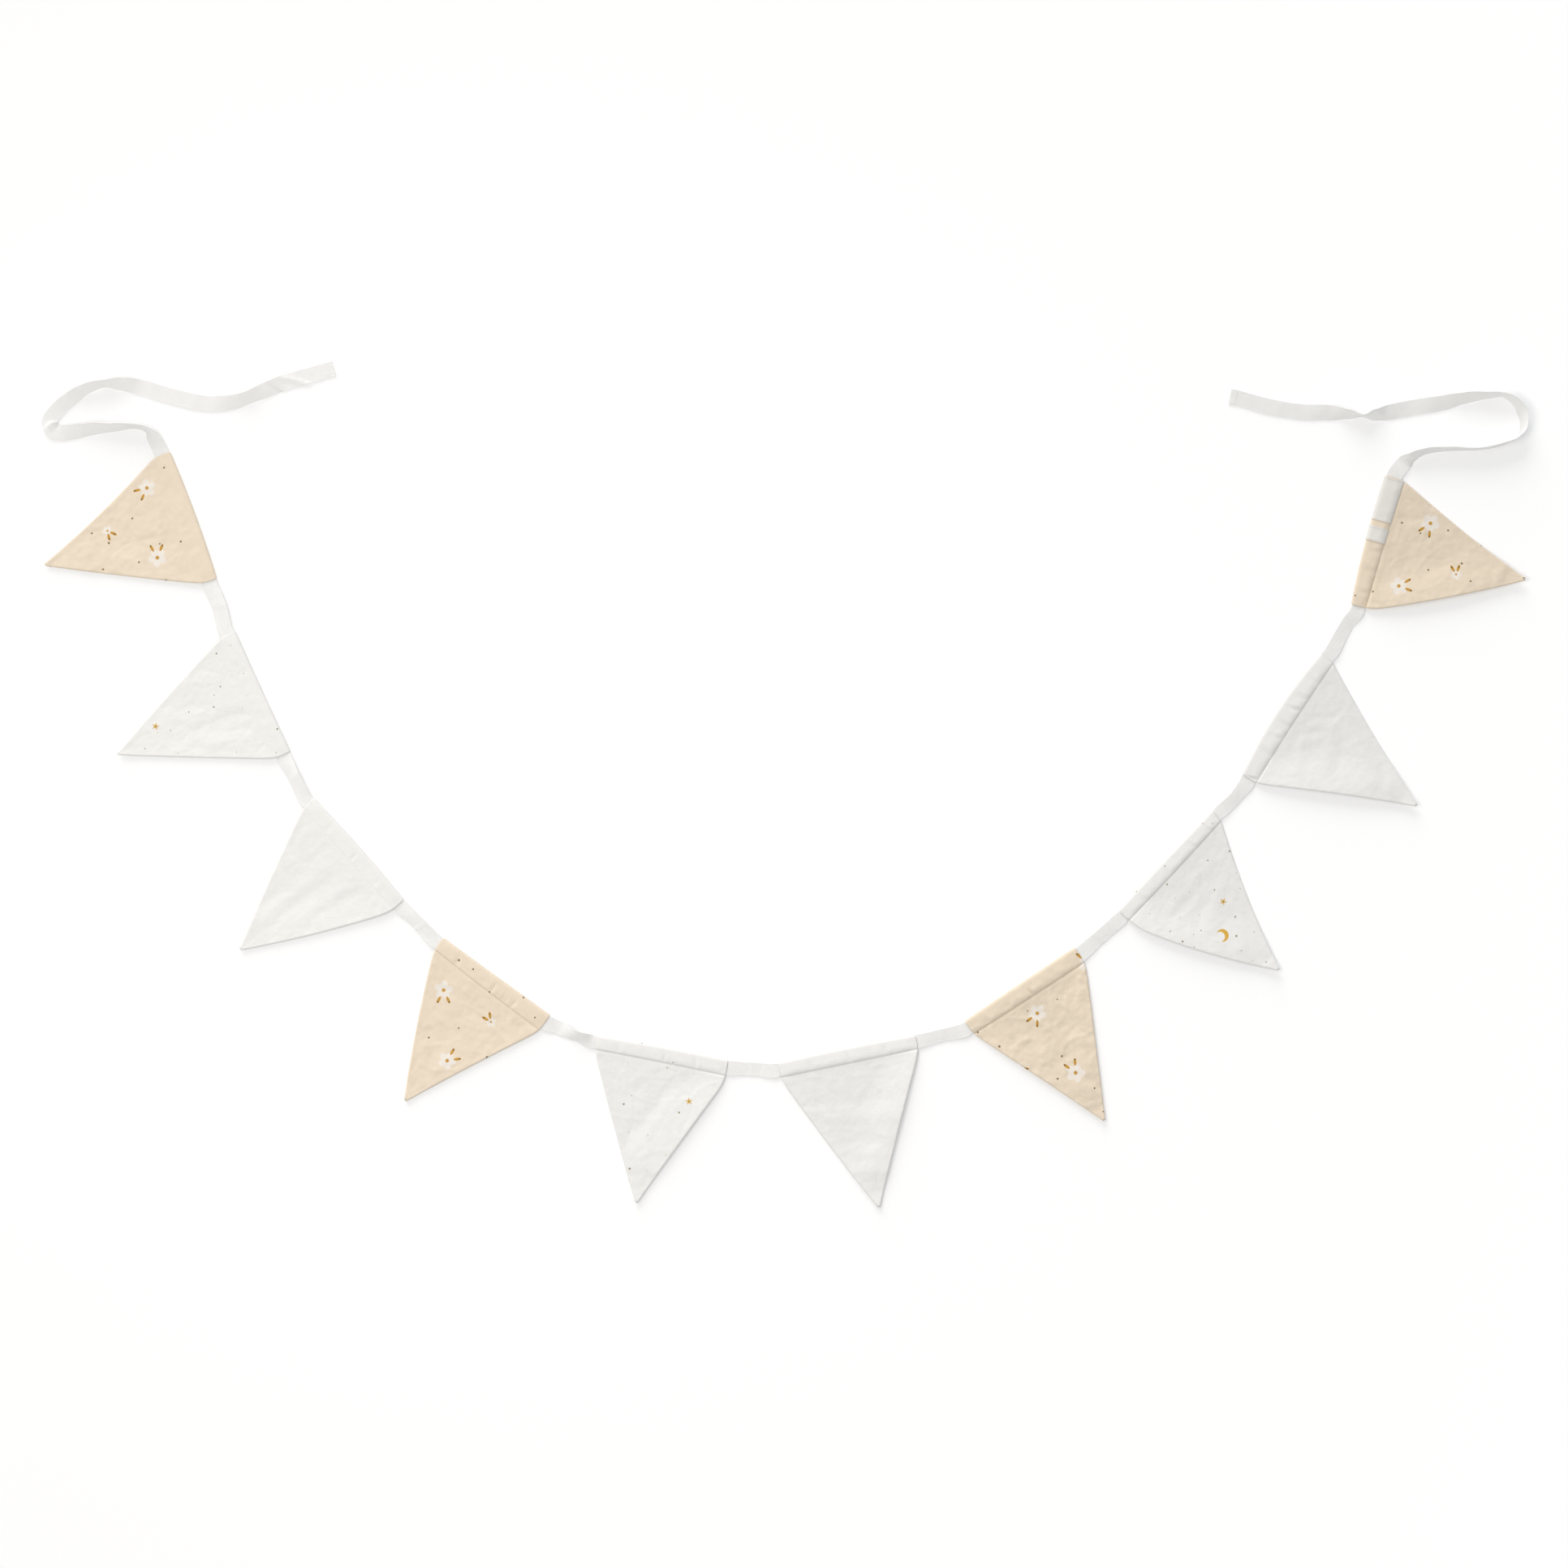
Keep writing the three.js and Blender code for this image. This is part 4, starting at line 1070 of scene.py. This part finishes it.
class Finish:
    """A material, its shader and the nodes that feed it."""

    def __init__(self, name):
        self.material = bpy.data.materials.new(name)
        self.material.use_nodes = True
        self.tree = self.material.node_tree
        self.shader = self.tree.nodes["Principled BSDF"]

    def feed(self, socket, value):
        """Links a value to a socket, or sets a constant on it."""
        if isinstance(value, Value):
            self.tree.links.new(value.socket, socket)
        else:
            socket.default_value = value

    def node(self, kind, settings, sockets, output=0):
        """Adds a node, with its settings and what feeds its sockets, and gives one of its outputs."""
        node = self.tree.nodes.new(kind)
        for name, setting in settings.items():
            setattr(node, name, setting)
        for name, value in sockets.items():
            self.feed(node.inputs[name], value)
        return Value(self, node.outputs[output])

    def math(self, operation, *values):
        return self.node("ShaderNodeMath", {"operation": operation}, dict(enumerate(values)))

    def vector(self, operation, *values, output=0):
        return self.node("ShaderNodeVectorMath", {"operation": operation}, dict(enumerate(values)), output)

    def scaled(self, vector, factor):
        return self.node("ShaderNodeVectorMath", {"operation": "SCALE"}, {"Vector": vector, "Scale": factor})

    def split(self, vector):
        """The first two coordinates of a vector."""
        first = self.node("ShaderNodeSeparateXYZ", {}, {0: vector})
        return first, Value(self, first.socket.node.outputs[1])

    def colours(self, factor, first, second):
        """The first colour where the factor is 0 and the second where it is 1."""
        return self.node("ShaderNodeMix", {"data_type": "RGBA"}, {0: factor, 6: first, 7: second}, output=2)

    def lumps(self, spot, size, detail=2.0):
        """Soft noise from 0 to 1 with lumps of a size in mm."""
        sockets = {"Vector": spot, "Scale": 1 / size, "Detail": detail}
        return self.node("ShaderNodeTexNoise", {"noise_dimensions": "2D"}, sockets)

    def mottled(self, spot, mottle):
        """A value that wanders from low to high, with lumps of a size in mm."""
        return mottle.low + self.lumps(spot, mottle.size) * (mottle.high - mottle.low)

    def soft_step(self, value):
        """0 below -0.5, 1 above 0.5 and a straight rise between them."""
        return self.node("ShaderNodeClamp", {}, {"Value": value + 0.5})

    def shade(self, sockets):
        """Feeds some of the shader's own sockets."""
        for name, value in sockets.items():
            self.feed(self.shader.inputs[name], value)

    def close(self, colour, roughness, height, sheen):
        """Feeds the shader what every finish has. The height is in mm."""
        bump = self.node("ShaderNodeBump", {}, {"Strength": 1.0, "Distance": MM, "Height": height})
        self.shade({"Normal": bump, "Base Color": colour, "Roughness": roughness})
        self.shade({"Sheen Weight": sheen, "Sheen Roughness": SHEEN_ROUGHNESS})
        self.shade({"Specular IOR Level": SPECULAR})
        return self.material


def paint(red, green, blue):
    return (red, green, blue, 1.0)


print("helpers of a finish:", [name for name in vars(Finish) if not name.startswith("_")])

# %% [markdown]
# ## Muslin
# Muslin is a loose plain weave: threads pass over and under each other like a chessboard, no two are
# equally thick, and after washing the cloth crinkles. The weave could be modelled thread by thread, but on
# a flag each thread is half a millimetre, so it is bump on the cloth's own UV map. The crinkle is a softer
# bump on top of the modelled creases.

# %% The weave
THREAD = 0.55
WEAVE_HEIGHT = 0.035
SLUB = 0.8
SLUB_STRETCH = 0.07
SLUB_HEIGHT = 0.05
CRINKLE = 3.2
CRINKLE_DETAIL = 3.0
CRINKLE_HEIGHT = 0.16
BROAD_TONE = 16
FINE_TONE = 6
BROAD_SHARE = 0.6
MUSLIN_ROUGHNESS = Mottle(5, 0.82, 0.94)
MUSLIN_SHEEN = 0.12


def cloth_spot(finish):
    """The place in the flat cloth, in mm."""
    return finish.scaled(finish.node("ShaderNodeUVMap", {"uv_map": CLOTH_MAP}, {}), 1 / MM)


def muslin_height(finish, spot):
    """The height of the threads, their slubs and the crinkle, in mm."""
    across, down = finish.split(spot)
    warp = finish.math("SINE", across * (math.pi / THREAD))
    weft = finish.math("SINE", down * (math.pi / THREAD))
    warp_slubs = finish.lumps(finish.vector("MULTIPLY", spot, (1.0, SLUB_STRETCH, 1.0)), SLUB)
    weft_slubs = finish.lumps(finish.vector("MULTIPLY", spot, (SLUB_STRETCH, 1.0, 1.0)), SLUB)
    crinkle = finish.lumps(spot, CRINKLE, CRINKLE_DETAIL)
    return warp * weft * WEAVE_HEIGHT + (warp_slubs + weft_slubs) * SLUB_HEIGHT + crinkle * CRINKLE_HEIGHT


def muslin(name, light, shade, printed=None):
    """A muslin finish between two near tones, with an optional print on top."""
    finish = Finish(name)
    spot = cloth_spot(finish)
    tone = finish.lumps(spot, BROAD_TONE) * BROAD_SHARE + finish.lumps(spot, FINE_TONE) * (1 - BROAD_SHARE)
    colour = finish.colours(tone, light, shade)
    if printed is not None:
        colour = printed(finish, spot, colour)
    roughness = finish.mottled(spot, MUSLIN_ROUGHNESS)
    return finish.close(colour, roughness, muslin_height(finish, spot), MUSLIN_SHEEN)


WHITE_LIGHT = paint(0.787, 0.774, 0.752)
WHITE_SHADE = paint(0.724, 0.713, 0.692)
plain_muslin = muslin("plain_muslin", WHITE_LIGHT, WHITE_SHADE)
print("nodes in the plain muslin:", len(plain_muslin.node_tree.nodes))

# %% [markdown]
# ## The starry print
# The second cloth has tiny gold specks strewn in no order, now and then a small star, and one crescent moon
# in each repeat. The specks come from two Voronoi textures, which put one point in each cell at random:
# near that point there is a speck. The stars and the moon are drawn from circles and angles, so they stay
# sharp at any distance.

# %% Shapes of a print
PRINT_SOFT = 0.35
PETAL_SOFT = 1.4
SPECK_SOFT = 0.4
SPECK_RANGE = 0.5
Specks = namedtuple("Specks", "cell size left_out strength")


def in_repeat(finish, spot, side):
    """The place inside one square repeat of a print."""
    return finish.vector("WRAP", spot, (side, side, 1.0), (0.0, 0.0, 0.0))


def distance_to(finish, spot, centre):
    return finish.vector("LENGTH", finish.vector("SUBTRACT", spot, centre), output=1)


def disc(finish, spot, centre, size, soft=PRINT_SOFT):
    """1 inside a disc and 0 outside it, with a soft edge."""
    return finish.soft_step((size - distance_to(finish, spot, centre)) / soft)


def around(finish, spot, centre, count, turn):
    """How far a place is from a centre, and the cosine and sine of half as many waves as points round it."""
    apart = finish.vector("SUBTRACT", spot, centre)
    across, down = finish.split(apart)
    angle = finish.math("ARCTAN2", down, across) * (count / 2) + turn
    waves = (finish.math("ABSOLUTE", finish.math(wave, angle)) for wave in ("COSINE", "SINE"))
    return finish.vector("LENGTH", apart, output=1), *waves


def rays(finish, spot, centre, size, count, turn, depth):
    """A star with pointed rays, which lose a share, depth, of their length between the points."""
    reach, _, sine = around(finish, spot, centre, count, turn)
    return finish.soft_step(((1 - sine * depth) * size - reach) / PRINT_SOFT)


def petals(finish, spot, centre, size, count, turn, depth):
    """A blossom with round petals and a notch between them."""
    reach, cosine, _ = around(finish, spot, centre, count, turn)
    return finish.soft_step(((cosine * depth + (1 - depth)) * size - reach) / PETAL_SOFT)


def strewn(finish, spot, specks):
    """One speck in each cell of a size in mm, but for a share of the cells that is left out."""
    settings = {"voronoi_dimensions": "2D", "feature": "F1"}
    sockets = {"Vector": spot, "Scale": 1 / specks.cell}
    distance = finish.node("ShaderNodeTexVoronoi", settings, sockets, "Distance") * specks.cell
    chance, weight = finish.split(finish.node("ShaderNodeTexVoronoi", settings, sockets, "Color"))
    size = weight * SPECK_RANGE + (specks.size - SPECK_RANGE / 2)
    speck = finish.soft_step((size - distance) / SPECK_SOFT)
    return speck * (chance > specks.left_out) * specks.strength


print("soft edge of a print in mm:", PRINT_SOFT)

# %% Star print
GOLD = paint(0.62, 0.37, 0.06)
GOLD_DEEP = paint(0.22, 0.15, 0.05)
STAR_REPEAT = 160.0
STAR_SIZE = 3.6
STAR_POINTS = 5
STAR_DEPTH = 0.6
STAR_INK = 0.9
STAR_HEART = 0.22
STAR_HEART_SOFT = 0.8
STAR_HEART_INK = 0.7
Star = namedtuple("Star", "x y turn")
STARS = [Star(101, 62, 0.3), Star(30, 112, 0.9), Star(47, 13, 0.0), Star(134, 130, 0.5)]
MOON_AT = (100.0, 30.0, 0.0)
MOON_SIZE = 6.0
MOON_BITE = 4.7
MOON_BITE_AT = (97.6, 28.8, 0.0)
SPECKS = [Specks(20.0, 0.6, 0.4, 0.45), Specks(31.0, 0.85, 0.4, 0.8)]


def star_print(finish, spot, cloth):
    tile = in_repeat(finish, spot, STAR_REPEAT)
    colour = cloth
    for specks in SPECKS:
        colour = finish.colours(strewn(finish, spot, specks), colour, GOLD_DEEP)
    moon = disc(finish, tile, MOON_AT, MOON_SIZE) * (1 - disc(finish, tile, MOON_BITE_AT, MOON_BITE))
    colour = finish.colours(moon, colour, GOLD)
    for star in STARS:
        centre = (star.x, star.y, 0.0)
        gold = rays(finish, tile, centre, STAR_SIZE, STAR_POINTS, star.turn, STAR_DEPTH)
        colour = finish.colours(gold * STAR_INK, colour, GOLD)
        heart = disc(finish, tile, centre, STAR_SIZE * STAR_HEART, STAR_HEART_SOFT)
        colour = finish.colours(heart * STAR_HEART_INK, colour, GOLD_DEEP)
    return colour


star_muslin = muslin("star_muslin", WHITE_LIGHT, WHITE_SHADE, star_print)
print("nodes in the star print:", len(star_muslin.node_tree.nodes))

# %% [markdown]
# ## The beige print
# The third cloth is beige with a loose scatter of white blossoms, each with an ochre heart and a pair of
# small leaves, and specks between them. It is a plain design of this scene's own. Each blossom is a disc
# with five lobes, and each leaf is a disc that has been squeezed along one side.

# %% Blossom print
BEIGE_LIGHT = paint(0.772, 0.660, 0.524)
BEIGE_SHADE = paint(0.667, 0.566, 0.444)
PETAL = paint(0.760, 0.712, 0.655)
OCHRE = paint(0.50, 0.27, 0.045)
BROWN = paint(0.16, 0.10, 0.03)
BLOSSOM_REPEAT = 105.0
PETALS = 5
PETAL_DEPTH = 0.38
PETAL_INK = 0.85
BLOSSOM_HEART = 0.2
BLOSSOM_HEART_SOFT = 0.9
Blossom = namedtuple("Blossom", "x y size turn leaf_turn")
BLOSSOMS = [Blossom(26, 30, 9.0, 0.4, 35), Blossom(78, 72, 8.5, 1.3, 160), Blossom(24, 84, 5.0, 0.0, 250)]
LEAF_LENGTH = 3.6
LEAF_WIDTH = 1.3
LEAF_SPREAD = 26
LEAF_OUT = 0.35
LEAF_SOFT = 0.6
BUD_SIZE = 0.8
BUD_OUT = 1.22
BUD_SOFT = 0.6
BLOSSOM_SPECKS = Specks(27.0, 0.9, 0.4, 0.9)


def leaf(finish, spot, centre, turn):
    """A leaf: a disc squeezed across the way it points; turn in degrees."""
    apart = finish.vector("SUBTRACT", spot, centre)
    way = (math.cos(math.radians(turn)), math.sin(math.radians(turn)), 0.0)
    side = (-way[1] * LEAF_LENGTH / LEAF_WIDTH, way[0] * LEAF_LENGTH / LEAF_WIDTH, 0.0)
    run = finish.vector("DOT_PRODUCT", apart, way, output=1)
    across = finish.vector("DOT_PRODUCT", apart, side, output=1)
    reach = finish.math("SQRT", run * run + across * across)
    return finish.soft_step((LEAF_LENGTH - reach) / LEAF_SOFT)


def blossom_print(finish, spot, cloth):
    tile = in_repeat(finish, spot, BLOSSOM_REPEAT)
    colour = finish.colours(strewn(finish, spot, BLOSSOM_SPECKS), cloth, BROWN)
    for blossom in BLOSSOMS:
        centre = (blossom.x, blossom.y, 0.0)
        white = petals(finish, tile, centre, blossom.size, PETALS, blossom.turn, PETAL_DEPTH)
        colour = finish.colours(white * PETAL_INK, colour, PETAL)
        heart = disc(finish, tile, centre, blossom.size * BLOSSOM_HEART, BLOSSOM_HEART_SOFT)
        colour = finish.colours(heart, colour, OCHRE)
        for spread in (-LEAF_SPREAD, LEAF_SPREAD):
            turn = blossom.leaf_turn + spread
            reach = blossom.size + LEAF_LENGTH * LEAF_OUT
            x, y = (reach * wave(math.radians(turn)) for wave in (math.cos, math.sin))
            place = (blossom.x + x, blossom.y + y, 0.0)
            colour = finish.colours(leaf(finish, tile, place, turn), colour, OCHRE)
            bud = (blossom.x + BUD_OUT * x, blossom.y + BUD_OUT * y, 0.0)
            colour = finish.colours(disc(finish, tile, bud, BUD_SIZE, BUD_SOFT), colour, BROWN)
    return colour


beige_muslin = muslin("beige_muslin", BEIGE_LIGHT, BEIGE_SHADE, blossom_print)
print("nodes in the blossom print:", len(beige_muslin.node_tree.nodes))

# %% [markdown]
# ## Tape, labels, thread and table
# The tape is a firm narrow weave whose cross threads show as fine ribs, with a denser thread at each edge.
# Light passes through it, which a thinner mesh could not show, so some of it is scattered under the
# surface. The labels are smooth satin with very fine lines. The thread is twisted, so its bump runs
# slantwise. The table is plain paper. It glows faintly, a painted glow that lightens the shadows on it,
# because more lamp light would burn out the white cloth too. It is a little darker below the lamp, a
# painted shade, so that it looks even.

# %% Tape finish
TAPE_RIB = 0.9
TAPE_RIB_HEIGHT = 0.06
TAPE_WARP_SHARE = 0.6
TAPE_SLUB = 1.0
TAPE_SLUB_STRETCH = 0.1
TAPE_SLUB_HEIGHT = 0.08
SELVEDGE = 0.9
SELVEDGE_HEIGHT = 0.08
TAPE_GLOW = 0.5
TAPE_GLOW_DEPTH = 1.5
TAPE_TONE_LUMP = 9
TAPE_TONES = (paint(0.80, 0.795, 0.78), paint(0.77, 0.765, 0.75))
TAPE_ROUGHNESS = Mottle(4, 0.8, 0.95)
TAPE_SHEEN = 0.1


def make_tape_finish():
    finish = Finish("cotton_tape")
    spot = cloth_spot(finish)
    across, run = finish.split(spot)
    ribs = finish.math("SINE", run * (2 * math.pi / TAPE_RIB))
    warp = finish.math("SINE", across * (2 * math.pi / THREAD))
    slubs = finish.lumps(finish.vector("MULTIPLY", spot, (1.0, TAPE_SLUB_STRETCH, 1.0)), TAPE_SLUB)
    selvedge = finish.math("ABSOLUTE", across) > TAPE_WIDTH / 2 - SELVEDGE
    height = (ribs + warp * TAPE_WARP_SHARE) * (TAPE_RIB_HEIGHT / 2)
    height = height + slubs * TAPE_SLUB_HEIGHT + selvedge * SELVEDGE_HEIGHT
    colour = finish.colours(finish.lumps(spot, TAPE_TONE_LUMP), *TAPE_TONES)
    roughness = finish.mottled(spot, TAPE_ROUGHNESS)
    finish.shade({"Subsurface Weight": TAPE_GLOW, "Subsurface Radius": (1.0, 1.0, 1.0)})
    finish.shade({"Subsurface Scale": TAPE_GLOW_DEPTH * MM})
    return finish.close(colour, roughness, height, TAPE_SHEEN)


tape_cotton = make_tape_finish()
print("nodes in the tape's finish:", len(tape_cotton.node_tree.nodes))

# %% Label and thread finishes
SATIN_LINE = 0.35
SATIN_HEIGHT = 0.012
LABEL_LUMP = 4
LABEL_LUMP_HEIGHT = 0.06
LABEL_TONE_LUMP = 6
LABEL_TONES = (paint(0.71, 0.685, 0.65), paint(0.69, 0.665, 0.63))
LABEL_ROUGHNESS = Mottle(3, 0.55, 0.7)
LABEL_SHEEN = 0.05
TWIST = 0.4
TWIST_HEIGHT = 0.03
THREAD_TONE_LUMP = 2
THREAD_ROUGHNESS = Mottle(1, 0.6, 0.8)
THREAD_SHEEN = 0.1


def make_label_finish():
    finish = Finish("woven_label")
    spot = cloth_spot(finish)
    _, run = finish.split(spot)
    lines = finish.math("SINE", run * (2 * math.pi / SATIN_LINE))
    height = lines * SATIN_HEIGHT + finish.lumps(spot, LABEL_LUMP) * LABEL_LUMP_HEIGHT
    colour = finish.colours(finish.lumps(spot, LABEL_TONE_LUMP), *LABEL_TONES)
    roughness = finish.mottled(spot, LABEL_ROUGHNESS)
    return finish.close(colour, roughness, height, LABEL_SHEEN)


def make_thread_finish(name, light, shade):
    finish = Finish(name)
    spot = finish.scaled(finish.node("ShaderNodeTexCoord", {}, {}, "Object"), 1 / MM)
    across, run = finish.split(spot)
    twist = finish.math("SINE", (across + run) * (2 * math.pi / TWIST))
    colour = finish.colours(finish.lumps(spot, THREAD_TONE_LUMP), light, shade)
    roughness = finish.mottled(spot, THREAD_ROUGHNESS)
    return finish.close(colour, roughness, twist * TWIST_HEIGHT, THREAD_SHEEN)


label_satin = make_label_finish()
white_thread = make_thread_finish("white_thread", paint(0.78, 0.775, 0.75), paint(0.72, 0.715, 0.69))
label_thread = make_thread_finish("label_thread", paint(0.60, 0.58, 0.55), paint(0.55, 0.53, 0.50))
beige_thread = make_thread_finish("beige_thread", paint(0.72, 0.60, 0.47), paint(0.66, 0.54, 0.41))
print("nodes in a thread's finish:", len(white_thread.node_tree.nodes))

# %% Table finish
PAPER_ROUGHNESS = 0.95
PAPER_GRAIN = 2 * MM
PAPER_GRAIN_HEIGHT = 0.01
# Painted light: the paper gives off a faint glow of its own, which lightens the shadows on it.
TABLE_PAINTED_GLOW = 0.2
TABLE_FAR = 1.6
# Painted shade: the paper's colour is darker near the lamp, to even out the lamp's pool of light.
TABLE_PAINTED_SHADE = paint(0.70, 0.70, 0.70)
TABLE_FAR_OFF = paint(0.855, 0.855, 0.855)


def make_table_finish():
    finish = Finish("table_paper")
    spot = finish.node("ShaderNodeTexCoord", {}, {}, "Object")
    # Painted shade, darkest right below the lamp and fading out with the distance from it.
    away = distance_to(finish, spot, (LAMP_PLACE[0], LAMP_PLACE[1], 0.0))
    far = finish.node("ShaderNodeClamp", {}, {"Value": away * away / TABLE_FAR**2})
    colour = finish.colours(far, TABLE_PAINTED_SHADE, TABLE_FAR_OFF)
    # Painted glow: light that the paper gives off, which lightens the shadows of the flags and the tape.
    finish.shade({"Emission Color": paint(1.0, 1.0, 1.0), "Emission Strength": TABLE_PAINTED_GLOW})
    grain = finish.lumps(spot, PAPER_GRAIN) * PAPER_GRAIN_HEIGHT
    return finish.close(colour, PAPER_ROUGHNESS, grain, 0.0)


table_top.data.materials.append(make_table_finish())
print("finishes:", [material.name for material in bpy.data.materials if material.users])

# %% [markdown]
# ## Dressing the part
# Each sheet now gets its finish, and the solid that it stands for is hidden. A flag's cut is a triangle
# with a strip for the casing on top.

# %% Finishes, sheets and the solids they stand for
CLOTHS = {"beige": beige_muslin, "starry": star_muslin, "plain": plain_muslin}
THREADS = {"beige": beige_thread, "starry": white_thread, "plain": white_thread}


def dress(piece, material):
    piece.data.materials.append(material)


for number, flag in enumerate(FLAGS, start=1):
    piece, stitches = flag_pieces[number - 1], stitch_pieces[number - 1]
    dress(piece, CLOTHS[flag.cloth])
    dress(stitches, THREADS[flag.cloth])
    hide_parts(f"flag_{number:02d}")

dress(tape_piece, tape_cotton)
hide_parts("tape")
for piece in hem_pieces:
    dress(piece, white_thread)

for label, piece, stitches in zip(LABELS, label_pieces, label_stitch_pieces):
    dress(piece, label_satin)
    dress(stitches, label_thread)
    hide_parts(label.name)

pieces = [*flag_pieces, *stitch_pieces, tape_piece, *hem_pieces, *label_pieces, *label_stitch_pieces]
triangles = [sum(len(face.vertices) - 2 for face in piece.data.polygons) for piece in pieces]
print("pieces:", len(pieces), "triangles:", sum(triangles), "most in one:", max(triangles))

# %% [markdown]
# ## The last update
# The view layer is brought up to date, so that every piece stands in its place.

# %% Last update
bpy.context.view_layer.update()
